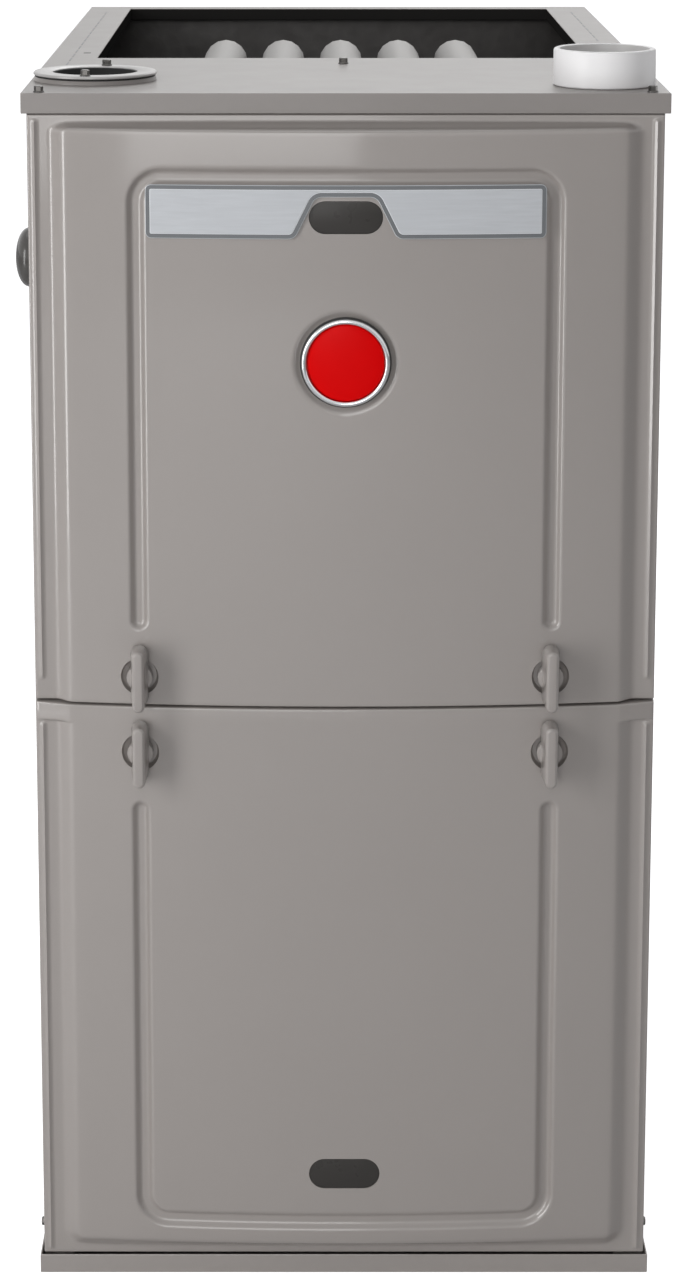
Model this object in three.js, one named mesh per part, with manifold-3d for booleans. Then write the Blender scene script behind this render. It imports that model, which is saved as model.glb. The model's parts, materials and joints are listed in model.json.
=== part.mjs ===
// A forced air gas furnace: a painted sheet-metal cabinet with two bowed, pressed doors held by
// quarter-turn latches, and inside it the burners, tubular heat exchanger, condensing coil,
// draft inducer, gas valve, controls and blower that such a furnace holds.
//
// Millimetres, +Z up. The origin is the middle of the base on the floor; the doors face -Y.
// Inside the cabinet group, y is the depth behind the front plane of the top deck.
import * as THREE from "three";
import { mergeVertices } from "three/addons/utils/BufferGeometryUtils.js";
import Module from "manifold-3d";

const wasm = await Module();
wasm.setup();

// ---------------------------------------------------------------- driving dimensions

// Cabinet
const CABINET_WIDTH = 444.5;
const CABINET_DEPTH = 724;
const CABINET_HEIGHT = 863.6;
const SHEET = 1.2; // steel sheet of the casing
const SEAT = 0.3; // gap between two pieces that rest on each other
const CAP_FLANGE = 14; // turned-down edge of the top deck
const CAP_OVERHANG = 2.6; // deck edge beyond the casing
const BASE_FLANGE = 14; // turned-up edge of the base pan
const BASE_OVERHANG = 1.7; // base pan edge beyond the casing
const JAMB_WIDTH = 22; // inward flange at each side panel's front edge
const BACK_FLANGE = 12; // inward flange at each side panel's rear edge

// Supply air opening in the top deck
const SUPPLY_RAIL = 36.25; // opening's edge to the deck's side edge
const SUPPLY_WIDTH = CABINET_WIDTH - 2 * SUPPLY_RAIL;
const SUPPLY_FRONT = 248; // depth of the opening's front edge
const SUPPLY_BACK = 702; // depth of the opening's rear edge
const SUPPLY_HEM = 10; // turned-down hem of the opening

// Return air opening in the base pan, closed by a bolted panel
const RETURN_WIDTH = 340;
const RETURN_DEPTH = 500;
const CLOSURE_LAP = 18; // closing panel's lap over the opening's edge

// Doors
const SEAM_HEIGHT = 433.5; // middle of the gap between the doors
const SEAM_GAP = 2.4;
const DOOR_GAP = 1; // doors to top flange and base rail
const DOOR_INSET = 1.2; // door edge from the casing's side
const DOOR_SETBACK = 1.5; // door margin behind the front plane
const DOOR_SHEET = 1.2;
const DOOR_RETURN = 15; // depth of the door's turned-back edges
const FIELD_MARGIN = 16.3; // door edge to the foot of the raised field
const FIELD_HEAD = 8; // upper door's top edge to its field
const FIELD_FOOT = 7; // lower door's bottom edge to its field
const FIELD_BEVEL = 9; // width of the field's sloping edge
const FIELD_RISE = 8; // field edge above the margin
const FIELD_CORNER = 16;
const BOW_RISE = 12; // middle of the field above its edge
const BOW_STEPS = 14;
const STRIP_HEIGHT = 14; // full-width lip along the lower door's top
const BEAD_INSET = 5.2; // bead centre from the door's edge
const BEAD_WIDTH = 5;
const BEAD_RISE = 1.6;
const BEAD_END = 18; // bead's end from the seam
const BEAD_STOP = 5; // bead's end from the top flange or base rail

// Pressed channels of the doors
const CHANNEL_SPAN = 288; // between the centre lines of the legs
const CHANNEL_WIDTH = 13;
const CHANNEL_DEPTH = 4;
const CHANNEL_CORNER = 18;
const UPPER_CHANNEL_DROP = 40.6; // upper door's top to the run
const UPPER_CHANNEL_END = 61; // leg end above the seam
const LOWER_CHANNEL_RISE = 33.5; // lower door's bottom to the run
const LOWER_CHANNEL_END = 76.5; // leg end below the seam

// Windows, label plate and badge
const WINDOW_WIDTH = 50;
const WINDOW_HEIGHT = 22;
const WINDOW_THICKNESS = 4;
const UPPER_WINDOW_DROP = 68; // below the upper door's top
const LOWER_WINDOW_RISE = 70.5; // above the lower door's bottom
const LABEL_WIDTH = 274;
const LABEL_HEIGHT = 37;
const LABEL_DROP = 45.6; // upper door's top to the label's top
const LABEL_THICKNESS = 1.5;
const LABEL_NOTCH_FOOT = 70;
const LABEL_NOTCH_HEAD = 39;
const LABEL_BRIDGE = 6; // label left above its notch
const BADGE_DROP = 168.6;
const BADGE_WELL = 72;
const BADGE_WELL_DEPTH = 2.5;
const BADGE_BEZEL = 60;
const BADGE_DISC = 52;
const BADGE_HEIGHT = 6;

// Latches
const LATCH_SPAN = 288;
const UPPER_LATCH_RISE = 21; // axis above the seam
const LOWER_LATCH_DROP = 34; // axis below the seam
const LATCH_WELL = 26.5;
const LATCH_WELL_DEPTH = 5;
const LATCH_HUB = 18;
const LATCH_SHAFT = 9;
const LATCH_FOOT = 12.4; // handle across, near the door
const LATCH_FACE = 8.4; // handle across, at its face
const LATCH_ABOVE = 24; // handle end above the axis
const LATCH_BELOW = 20; // handle end below the axis
const LATCH_REACH = 28; // handle face in front of the well's floor
const LATCH_CLEARANCE = 7.7; // handle's underside in front of the well's floor
const LATCH_ROUND = 1.6; // rounding of the handle's face
const LATCH_TONGUE = 30;
const LATCH_TONGUE_WIDTH = 9;
const LATCH_TONGUE_THICKNESS = 2.5;
const TURN_CLEARANCE = 0.5; // between a turning piece and its hole

// Door liners
const LINER_THICKNESS = 6;
const LINER_INSET = 12; // liner edge from the door's edge

// Centre rail, blower deck and vestibule panel
const RAIL_HEIGHT = 108;
const STRIKE_HOLE = 36; // hole that a latch tongue passes
const VESTIBULE_DEPTH = 215;

// Heat exchanger
const TUBE_COUNT = 5;
const TUBE_PITCH = 47;
const TUBE_DIAMETER = 35;
const TUBE_WALL = 1.8;
const TUBE_TOP_GAP = 4; // top of the tubes below the top deck's face
const TUBE_TOP_RUN = 450; // depth where the first run starts to bend
const TUBE_FRONT_TURN = 305; // depth where the second run turns back
const TUBE_REAR_END = 628; // depth of the collector box face
const TUBE_UPPER_BEND = 44; // radius of the first bend
const TUBE_LOWER_BEND = 42; // radius of the second bend
const COLLECTOR_DEPTH = 56;
const COLLECTOR_RISE = 34; // collector box above the lowest tube run
const COIL_MARGIN = 77.25; // coil's end to the deck's side edge
const COIL_WIDTH = CABINET_WIDTH - 2 * COIL_MARGIN;
const COIL_DEPTH = 390;
const COIL_HEIGHT = 108;
const COIL_RISE = 48; // coil above the blower deck
const COIL_FINS = 11;
const COIL_FIN_THICKNESS = 2;
const COIL_HEADER = 16;

// Burners and gas train
const BURNER_BOX_WIDTH = 262;
const BURNER_BOX_DEPTH = 94;
const BURNER_BOX_HEIGHT = 54;
const BURNER_DIAMETER = 26;
const BURNER_LENGTH = 70;
const MANIFOLD_DIAMETER = 21;
const MANIFOLD_DEPTH = 92;
const MANIFOLD_WALL = 2.8;
const MANIFOLD_END = 12; // pipe end beyond the last orifice spud
const SPUD_DIAMETER = 10;
const VALVE_EDGE = 56.25; // gas valve centre to the deck's left edge
const VALVE_OFFSET = CABINET_WIDTH / 2 - VALVE_EDGE;
const VALVE_WIDTH = 62;
const VALVE_DEPTH = 66;
const VALVE_HEIGHT = 84;
const VALVE_DROP = 62; // manifold axis to the top of the valve
const VALVE_SWITCH = 20;
const VALVE_SWITCH_HEIGHT = 12;
const VALVE_PORT = 30;
const ROLLOUT_DIAMETER = 12;
const ROLLOUT_FLANGE = 20;
const ROLLOUT_LENGTH = 10;
const ROLLOUT_BUTTON = 6;
const ROLLOUT_TRAVEL = 2.6;
const IGNITER_DIAMETER = 8;
const IGNITER_LENGTH = 16;
const SENSOR_ROD = 3;
const IGNITER_ROD = 4;

// Inducer and vent
const HEADER_BOX_DEPTH = 28;
const INDUCER_OFFSET = 20; // inducer axis right of the middle
const INDUCER_RISE = 110; // inducer axis above the blower deck
const INDUCER_RADIUS = 68; // scroll at its smallest
const INDUCER_GROWTH = 16; // scroll's growth over its turn
const INDUCER_WIDTH = 46;
const INDUCER_WALL = 2.4;
const INDUCER_WHEEL = 108;
const INDUCER_WHEEL_WIDTH = 24;
const INDUCER_MOTOR = 84;
const INDUCER_MOTOR_LENGTH = 62;
const INDUCER_OUTLET = 64;
const VENT_EDGE = 41.25; // vent axis to the deck's right edge
const VENT_OFFSET = CABINET_WIDTH / 2 - VENT_EDGE;
const VENT_DEPTH = 55;
const VENT_DIAMETER = 60.3;
const VENT_WALL = 3.9;
const VENT_STRAIGHT = 72.2; // straight end of the vent pipe below the deck's face
const COUPLING_DIAMETER = 71.5;
const COUPLING_HEIGHT = 26;
const COUPLING_SOCKET = 14; // depth of the open socket above the pipe's end

// Combustion air intake
const INTAKE_EDGE = 45.25; // intake axis to the deck's left edge
const INTAKE_OFFSET = CABINET_WIDTH / 2 - INTAKE_EDGE;
const INTAKE_DEPTH = 92;
const INTAKE_BORE = 60;
const INTAKE_DIAMETER = 88;
const GASKET_THICKNESS = 2;
const INTAKE_THICKNESS = 3.6;

// Pressure switch, hose and drain trap
const PRESSURE_SWITCH = 62;
const PRESSURE_SWITCH_DEPTH = 24;
const PRESSURE_SWITCH_EDGE = 62.25; // switch axis to the deck's left edge
const PRESSURE_SWITCH_OFFSET = CABINET_WIDTH / 2 - PRESSURE_SWITCH_EDGE;
const PRESSURE_SWITCH_RISE = 218; // above the blower deck
const HOSE_DIAMETER = 8;
const HOSE_BORE = 4;
const HOSE_BOW = 34; // hose in front of its ends
const HOSE_DROP = 20;
const HOSE_INSET = 22; // hose's end from the header box's side
const HOSE_BELOW = 18; // hose's end below the header box's top
const NIPPLE_LENGTH = 10;
const TRAP_WIDTH = 58;
const TRAP_DEPTH = 60;
const TRAP_HEIGHT = 96;
const TRAP_EDGE = 44.25; // trap's middle to the deck's left edge
const TRAP_OFFSET = CABINET_WIDTH / 2 - TRAP_EDGE;
const TRAP_STUB = 16;
const TRAP_STUB_LENGTH = 20; // drain stub in front of the trap
const TRAP_STUB_RISE = 24; // drain stub's axis above the trap's foot
const TRAP_INLET_RISE = 16;
const TRAP_INLET_DEPTH = 20; // inlet's axis behind the trap's front

// Blower
const BLOWER_WIDTH = 250;
const BLOWER_DEPTH = 400; // depth of the wheel's axis
const BLOWER_AXIS_HEIGHT = 206;
const BLOWER_TONGUE = 146; // scroll radius at the cut-off
const BLOWER_MOUTH = 186; // scroll radius at the outlet
const BLOWER_INLET = 208;
const BLOWER_FLANGE = 16;
const WHEEL_DIAMETER = 254;
const WHEEL_WIDTH = 203;
const WHEEL_BLADES = 26;
const WHEEL_BLADE_DEPTH = 18;
const WHEEL_BLADE_THICKNESS = 1.6;
const WHEEL_RING = 8;
const WHEEL_HUB = 34;
const MOTOR_DIAMETER = 128;
const MOTOR_LENGTH = 118;
const MOTOR_SHAFT = 12.7;
const BAND_THICKNESS = 2;
const BAND_WIDTH = 34;
const ARM_WIDTH = 18;

// Controls
const BRACKET_WIDTH = 320;
const BRACKET_DROP = 150; // bracket below the blower deck
const BRACKET_DEPTH = 66;
const BRACKET_FLANGE = 16;
const BOARD_WIDTH = 170;
const BOARD_HEIGHT = 96;
const BOARD_THICKNESS = 1.8;
const BOARD_STANDOFF = 8;
const BOARD_OFFSET = 52; // board's middle left of the middle
const BOARD_DROP = 22; // board's middle below the bracket's
const STANDOFF_DIAMETER = 6;
const STANDOFF_INSET = 8;
const RELAY_COUNT = 3;
const RELAY_PITCH = 28;
const RELAY_START = 58; // first relay left of the board's middle
const RELAY_RISE = 26;
const RELAY_WIDTH = 22;
const RELAY_HEIGHT = 28;
const RELAY_DEPTH = 17;
const TERMINALS_OFFSET = 20; // terminal strip left of the board's middle
const TERMINALS_DROP = 36;
const TERMINALS_WIDTH = 110;
const TERMINALS_HEIGHT = 10;
const TERMINALS_DEPTH = 12;
const SOCKET_OFFSET = 60; // plug socket right of the board's middle
const SOCKET_RISE = 10;
const SOCKET_WIDTH = 16;
const SOCKET_HEIGHT = 44;
const SOCKET_DEPTH = 14;
const TRANSFORMER_OFFSET = 108; // right of the middle
const TRANSFORMER_STEP = 14; // core's face behind the winding's
const TRANSFORMER_WIDTH = 62;
const TRANSFORMER_HEIGHT = 70;
const TRANSFORMER_DEPTH = 44;
const SWITCH_OFFSET = 70; // door switch right of the middle
const SWITCH_DROP = 24; // door switch below the seam
const SWITCH_BODY = 26;
const SWITCH_DEPTH = 24;
const PLUNGER_DIAMETER = 6;

// Plug in the left side
const PLUG_DEPTH = 42;
const PLUG_DROP = 119.6; // below the top of the deck
const PLUG_DIAMETER = 42;
const PLUG_RISE = 11;
const PLUG_HOLE = 34;

// ---------------------------------------------------------------- finishes

const finish = (color, roughness, metalness) =>
  new THREE.MeshStandardMaterial({ color, roughness, metalness });

const PAINT = finish(0x96928e, 0.45, 0.3);
const DECK_PAINT = finish(0xc3bebd, 0.4, 0.3);
const GALVANISED = finish(0xa9adaf, 0.45, 0.8);
const ALUMINISED = finish(0xb9b8b5, 0.4, 0.8);
const SILVER_LABEL = finish(0xb8bcc2, 0.35, 0.6);
const CHROME = finish(0xdfe2e4, 0.12, 1);
const RED_ENAMEL = finish(0xd50a0a, 0.25, 0);
const SMOKED_GLASS = finish(0x3c3a38, 0.2, 0);
const BLACK_PLASTIC = finish(0x252525, 0.5, 0);
const RUBBER = finish(0x1c1c1c, 0.8, 0);
const LINER_FOIL = finish(0x8d8f90, 0.5, 0.4);
const WHITE_PVC = finish(0xf2f2f0, 0.4, 0);
const BLACK_PIPE = finish(0x30302f, 0.55, 0.5);
const CAST_ALUMINIUM = finish(0x9fa2a3, 0.5, 0.7);
const MOTOR_PAINT = finish(0x4a4d50, 0.5, 0.3);
const BOARD_GREEN = finish(0x2c5c3c, 0.5, 0);
const STEEL = finish(0x86898b, 0.35, 0.9);
const CERAMIC = finish(0xe6e0d2, 0.6, 0);
const SWITCH_GREY = finish(0x55585a, 0.5, 0);

// ---------------------------------------------------------------- solids

// A closed three.js geometry as a solid whose faces point outwards.
function solid(geometry) {
  const bare = geometry.index ? geometry.toNonIndexed() : geometry.clone();
  bare.deleteAttribute("normal");
  bare.deleteAttribute("uv");
  const merged = mergeVertices(bare, 1e-4);
  const vertProperties = merged.attributes.position.array;
  const triVerts = new Uint32Array(merged.index.array);
  const made = new wasm.Manifold(new wasm.Mesh({ numProp: 3, vertProperties, triVerts }));
  if (made.volume() >= 0) return made;
  return new wasm.Manifold(
    new wasm.Mesh({ numProp: 3, vertProperties, triVerts: triVerts.reverse() }),
  );
}

// All the solids joined into one.
function join(...solids) {
  return solids.flat().reduce((whole, piece) => whole.add(piece));
}

// The first solid with the others cut away.
function cut(whole, ...tools) {
  return tools.flat().reduce((left, tool) => left.subtract(tool), whole);
}

function box([x0, x1], [y0, y1], [z0, z1]) {
  const geometry = new THREE.BoxGeometry(x1 - x0, y1 - y0, z1 - z0);
  return solid(geometry.translate((x0 + x1) / 2, (y0 + y1) / 2, (z0 + z1) / 2));
}

function centred(middle, width) {
  return [middle - width / 2, middle + width / 2];
}

// An outline extruded between two places along an axis. Its own two axes are x, z along y;
// x, y along z; and y, z along x.
const TURNS = {
  x: new THREE.Matrix4().makeBasis(
    new THREE.Vector3(0, 1, 0),
    new THREE.Vector3(0, 0, 1),
    new THREE.Vector3(1, 0, 0),
  ),
  y: new THREE.Matrix4().makeRotationX(Math.PI / 2),
  z: new THREE.Matrix4(),
};

function prism(axis, shape, [from, to], curveSegments = 6) {
  const depth = to - from;
  const geometry = new THREE.ExtrudeGeometry(shape, { depth, bevelEnabled: false, curveSegments });
  geometry.applyMatrix4(TURNS[axis]);
  const shift = { x: [from, 0, 0], y: [0, to, 0], z: [0, 0, from] }[axis];
  return solid(geometry.translate(...shift));
}

// A round bar about an axis through a point given in the other two axes' order.
function bar(axis, diameter, [from, to], [a, b], sides = 20) {
  return prism(axis, circle(diameter / 2, a, b, sides), [from, to]);
}

// A turned piece: its profile holds [radius, place along the axis] pairs and closes on itself
// or on the axis.
function turned(axis, profile, [a, b], segments = 28) {
  const points = profile.map(([radius, along]) => new THREE.Vector2(radius, along));
  const geometry = new THREE.LatheGeometry(points, segments);
  if (axis === "x") geometry.rotateZ(-Math.PI / 2).translate(0, a, b);
  if (axis === "y") geometry.translate(a, 0, b);
  if (axis === "z") geometry.rotateX(Math.PI / 2).translate(a, b, 0);
  return solid(geometry);
}

// A tube, or a bar where it has no bore, along a curve.
function tube(path, diameter, bore, steps, sides = 10) {
  const section = circle(diameter / 2, 0, 0, sides);
  if (bore) section.holes.push(circle(bore / 2, 0, 0, sides - 2));
  return solid(new THREE.ExtrudeGeometry(section, { steps, extrudePath: path }));
}

// A skin between rings that hold the same number of points, closed by a fan at each end.
function loft(rings) {
  const count = rings[0].length;
  const index = [];
  for (let level = 0; level + 1 < rings.length; level++) {
    for (let i = 0; i < count; i++) {
      const a = level * count + i;
      const b = level * count + ((i + 1) % count);
      index.push(a, b, a + count, b, b + count, a + count);
    }
  }
  const last = (rings.length - 1) * count;
  for (let i = 1; i + 1 < count; i++) index.push(0, i + 1, i, last, last + i, last + i + 1);
  const geometry = new THREE.BufferGeometry();
  geometry.setAttribute("position", new THREE.Float32BufferAttribute(rings.flat(2), 3));
  geometry.setIndex(index);
  return solid(geometry);
}

// ---------------------------------------------------------------- outlines

function polygon(points) {
  return new THREE.Shape(points.map(([a, b]) => new THREE.Vector2(a, b)));
}

function circle(radius, a, b, sides) {
  const corner = (i) => {
    const turn = (2 * Math.PI * i) / sides;
    return [a + radius * Math.cos(turn), b + radius * Math.sin(turn)];
  };
  return polygon(Array.from({ length: sides }, (_, i) => corner(i)));
}

// Corner points of a rounded rectangle, the same number whatever its size.
function roundedCorners([a0, a1], [b0, b1], radius, steps = 4) {
  const centres = [
    [a1 - radius, b1 - radius, 0],
    [a0 + radius, b1 - radius, 1],
    [a0 + radius, b0 + radius, 2],
    [a1 - radius, b0 + radius, 3],
  ];
  return centres.flatMap(([a, b, quarter]) =>
    Array.from({ length: steps + 1 }, (_, i) => {
      const turn = ((quarter + i / steps) * Math.PI) / 2;
      return [a + radius * Math.cos(turn), b + radius * Math.sin(turn)];
    }),
  );
}

function roundedRectangle(a, b, radius, steps) {
  return polygon(roundedCorners(a, b, radius, steps));
}

// A stroke of even width down one leg, along a run and up the other leg, with round corners
// and ends. The legs stop at the height `end`, and the run lies at the height `run`.
function channelOutline(width, run, end) {
  const half = CHANNEL_SPAN / 2;
  const side = width / 2;
  const up = Math.sign(run - end);
  const length = Math.abs(run - end);
  const turnAt = length - CHANNEL_CORNER;
  const shape = new THREE.Shape();
  shape.moveTo(-half - side, 0).lineTo(-half - side, turnAt);
  shape.absarc(-half + CHANNEL_CORNER, turnAt, CHANNEL_CORNER + side, Math.PI, Math.PI / 2, true);
  shape.lineTo(half - CHANNEL_CORNER, length + side);
  shape.absarc(half - CHANNEL_CORNER, turnAt, CHANNEL_CORNER + side, Math.PI / 2, 0, true);
  shape.lineTo(half + side, 0);
  shape.absarc(half, 0, side, 0, Math.PI, true);
  shape.lineTo(half - side, turnAt);
  shape.absarc(half - CHANNEL_CORNER, turnAt, CHANNEL_CORNER - side, 0, Math.PI / 2, false);
  shape.lineTo(-half + CHANNEL_CORNER, length - side);
  shape.absarc(-half + CHANNEL_CORNER, turnAt, CHANNEL_CORNER - side, Math.PI / 2, Math.PI, false);
  shape.lineTo(-half + side, 0);
  shape.absarc(-half, 0, side, 0, Math.PI, true);
  return new THREE.Shape(shape.getPoints(4).map((p) => new THREE.Vector2(p.x, end + up * p.y)));
}

// ---------------------------------------------------------------- places worked out once

const CASING_HALF = CABINET_WIDTH / 2 - CAP_OVERHANG;
const CASING_INNER = CASING_HALF - SHEET;
const CASING_BACK = CABINET_DEPTH - CAP_OVERHANG;
const CASING_TOP = CABINET_HEIGHT - SHEET - SEAT;
const CASING_FLOOR = SHEET + SEAT;
const JAMB_FACE = DOOR_SETBACK + DOOR_RETURN + SEAT;
const RAIL_FACE = JAMB_FACE + SHEET + SEAT;
const BACK_INNER = CASING_BACK - 2 * SHEET - SEAT;

const DOOR_HALF = CASING_HALF - DOOR_INSET;
const UPPER_TOP = CABINET_HEIGHT - CAP_FLANGE - DOOR_GAP;
const UPPER_BOTTOM = SEAM_HEIGHT + SEAM_GAP / 2;
const LOWER_TOP = SEAM_HEIGHT - SEAM_GAP / 2;
const LOWER_BOTTOM = BASE_FLANGE + DOOR_GAP;
const FIELD_HALF = DOOR_HALF - FIELD_MARGIN;
const FIELD_FLAT = FIELD_HALF - FIELD_BEVEL;
const DOOR_FRONT = -FIELD_RISE - BOW_RISE; // foremost point of a door, from its margin
const AHEAD = DOOR_FRONT - 20; // clear in front of every door feature
const SUPPORT_WIDTH = 2 * CASING_INNER - 2 * SEAT;

const DECK_TOP = SEAM_HEIGHT + SHEET / 2;
const DECK_UNDER = DECK_TOP - SHEET;
const TUBE_TOP_AXIS = CABINET_HEIGHT - TUBE_TOP_GAP - TUBE_DIAMETER / 2;
const TUBE_MIDDLE_AXIS = TUBE_TOP_AXIS - 2 * TUBE_UPPER_BEND;
const TUBE_LOW_AXIS = TUBE_MIDDLE_AXIS - 2 * TUBE_LOWER_BEND;
const COIL_BOTTOM = DECK_TOP + COIL_RISE;
const COIL_FRONT = VESTIBULE_DEPTH + SHEET + SEAT;
const PANEL_FACE = VESTIBULE_DEPTH - SEAT; // what stands on the vestibule panel's face
const INDUCER_AXIS_HEIGHT = DECK_TOP + INDUCER_RISE;
const INDUCER_BACK = PANEL_FACE - HEADER_BOX_DEPTH - SEAT;
const INDUCER_FRONT = INDUCER_BACK - INDUCER_WIDTH;
const BOX_FRONT = PANEL_FACE - BURNER_BOX_DEPTH;
const BURNER_AXIS = TUBE_TOP_AXIS;
const HOUSING_TOP = DECK_UNDER - SEAT;

const tubeOffsets = Array.from(
  { length: TUBE_COUNT },
  (_, i) => (i - (TUBE_COUNT - 1) / 2) * TUBE_PITCH,
);

// ---------------------------------------------------------------- scene graph

const furnace = new THREE.Group();
furnace.name = "forced_air_furnace";
const cabinet = new THREE.Group();
cabinet.position.y = -CABINET_DEPTH / 2;
furnace.add(cabinet);

function place(group, name, piece, material, [x, y, z] = [0, 0, 0]) {
  const { vertProperties, triVerts } = piece.getMesh();
  const geometry = new THREE.BufferGeometry();
  geometry.setAttribute("position", new THREE.BufferAttribute(vertProperties, 3));
  geometry.setIndex(new THREE.BufferAttribute(triVerts, 1));
  const mesh = new THREE.Mesh(geometry, material);
  mesh.name = name;
  mesh.position.set(x, y, z);
  group.add(mesh);
}

// ---------------------------------------------------------------- cabinet

// A side panel lies in the plane x = 0 with its outer face, and its flanges turn to +x.
function sidePanel(side) {
  const section = polygon([
    [0, JAMB_FACE],
    [JAMB_WIDTH, JAMB_FACE],
    [JAMB_WIDTH, JAMB_FACE + SHEET],
    [SHEET, JAMB_FACE + SHEET],
    [SHEET, CASING_BACK - SHEET],
    [BACK_FLANGE, CASING_BACK - SHEET],
    [BACK_FLANGE, CASING_BACK],
    [0, CASING_BACK],
  ]);
  const panel = prism("z", section, [CASING_FLOOR, CASING_TOP]);
  return side < 0 ? panel : panel.mirror([1, 0, 0]);
}

const plugPlace = [PLUG_DEPTH, CABINET_HEIGHT - PLUG_DROP];
const plugHole = bar("x", PLUG_HOLE, [-1, SHEET + 1], plugPlace);
place(cabinet, "left_side_panel", cut(sidePanel(-1), plugHole), PAINT, [-CASING_HALF, 0, 0]);
place(cabinet, "right_side_panel", sidePanel(1), PAINT, [CASING_HALF, 0, 0]);

const backPanel = box(
  centred(0, SUPPORT_WIDTH),
  [BACK_INNER, BACK_INNER + SHEET],
  [CASING_FLOOR, CASING_TOP],
);
place(cabinet, "back_panel", backPanel, PAINT);

function topDeck() {
  const half = CABINET_WIDTH / 2;
  const under = [CABINET_HEIGHT - CAP_FLANGE, CABINET_HEIGHT];
  const block = box([-half, half], [0, CABINET_DEPTH], under);
  const room = box(
    [-half + SHEET, half - SHEET],
    [SHEET, CABINET_DEPTH - SHEET],
    [0, CABINET_HEIGHT - SHEET],
  );
  // The hem runs down both sides and the rear; the tubes pass under the front edge.
  const hem = box(
    centred(0, SUPPLY_WIDTH + 2 * SHEET),
    [SUPPLY_FRONT + SHEET, SUPPLY_BACK + SHEET],
    [CABINET_HEIGHT - SUPPLY_HEM, CABINET_HEIGHT],
  );
  const through = [0, CABINET_HEIGHT + SHEET];
  const supply = box(centred(0, SUPPLY_WIDTH), [SUPPLY_FRONT, SUPPLY_BACK], through);
  const intake = bar("z", INTAKE_BORE, through, [-INTAKE_OFFSET, INTAKE_DEPTH], 24);
  const vent = bar("z", VENT_DIAMETER + 2, through, [VENT_OFFSET, VENT_DEPTH], 22);
  return cut(block, cut(room, hem), supply, intake, vent);
}
place(cabinet, "top_deck", topDeck(), DECK_PAINT);

function basePan() {
  const half = CASING_HALF + BASE_OVERHANG;
  const back = CASING_BACK + BASE_OVERHANG;
  const rise = [0, BASE_FLANGE];
  const pan = box([-half, half], [0, back], rise);
  const room = box([-half + SHEET, half - SHEET], [SHEET, back - SHEET], [SHEET, BASE_FLANGE + 1]);
  const opening = box(
    centred(0, RETURN_WIDTH),
    centred(CABINET_DEPTH / 2, RETURN_DEPTH),
    [-1, BASE_FLANGE],
  );
  return cut(pan, room, opening);
}
place(cabinet, "base_pan", basePan(), PAINT);

// The closing panel is dished, so that its middle lies level with the pan's underside.
const closureMiddle = CABINET_DEPTH / 2;
const closurePanel = join(
  box(
    centred(0, RETURN_WIDTH - 2 * SEAT),
    centred(closureMiddle, RETURN_DEPTH - 2 * SEAT),
    [0, 2 * SHEET],
  ),
  box(
    centred(0, RETURN_WIDTH + 2 * CLOSURE_LAP),
    centred(closureMiddle, RETURN_DEPTH + 2 * CLOSURE_LAP),
    [SHEET + SEAT, 2 * SHEET + SEAT],
  ),
);
place(cabinet, "bottom_closure_panel", closurePanel, GALVANISED);

const latchPlaces = [
  ["upper_left", -1, SEAM_HEIGHT + UPPER_LATCH_RISE],
  ["upper_right", 1, SEAM_HEIGHT + UPPER_LATCH_RISE],
  ["lower_left", -1, SEAM_HEIGHT - LOWER_LATCH_DROP],
  ["lower_right", 1, SEAM_HEIGHT - LOWER_LATCH_DROP],
].map(([name, side, height]) => ({ name, x: (side * LATCH_SPAN) / 2, z: height }));

function centreRail() {
  const face = box(
    centred(0, SUPPORT_WIDTH),
    [RAIL_FACE, RAIL_FACE + SHEET],
    centred(SEAM_HEIGHT, RAIL_HEIGHT),
  );
  const reach = [RAIL_FACE - 1, RAIL_FACE + SHEET + 1];
  const strikes = latchPlaces.map(({ x, z }) => bar("y", STRIKE_HOLE, reach, [x, z], 16));
  const plunger = bar(
    "y",
    PLUNGER_DIAMETER + 2 * TURN_CLEARANCE,
    reach,
    [SWITCH_OFFSET, SEAM_HEIGHT - SWITCH_DROP],
    12,
  );
  return cut(face, strikes, plunger);
}
place(cabinet, "centre_rail", centreRail(), GALVANISED);

// The deck between the compartments, open over the blower's outlet.
const blowerOutlet = [
  BLOWER_DEPTH + BLOWER_TONGUE * Math.cos(Math.PI / 3),
  BLOWER_DEPTH + BLOWER_MOUTH,
];
const blowerDeck = cut(
  box(
    centred(0, SUPPORT_WIDTH),
    [RAIL_FACE + SHEET + SEAT, BACK_INNER - SEAT],
    [DECK_UNDER, DECK_TOP],
  ),
  box(
    centred(0, BLOWER_WIDTH - 2 * SHEET),
    [blowerOutlet[0] + SHEET, blowerOutlet[1] - SHEET],
    [DECK_UNDER - 1, DECK_TOP + 1],
  ),
);
place(cabinet, "blower_deck", blowerDeck, GALVANISED);

const coilWindow = [COIL_BOTTOM + COIL_HEADER / 2, COIL_BOTTOM + COIL_HEIGHT - COIL_HEADER / 2];
function vestibulePanel() {
  const plate = box(
    centred(0, SUPPORT_WIDTH),
    [VESTIBULE_DEPTH, VESTIBULE_DEPTH + SHEET],
    [DECK_TOP + SEAT, CASING_TOP],
  );
  const reach = [VESTIBULE_DEPTH - 1, VESTIBULE_DEPTH + SHEET + 1];
  const ports = tubeOffsets.map((x) =>
    bar("y", TUBE_DIAMETER + 2 * SEAT, reach, [x, TUBE_TOP_AXIS], 10),
  );
  const window = box(centred(0, COIL_WIDTH - 2 * COIL_HEADER), reach, coilWindow);
  return cut(plate, ports, window);
}
place(cabinet, "vestibule_panel", vestibulePanel(), GALVANISED);

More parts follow.
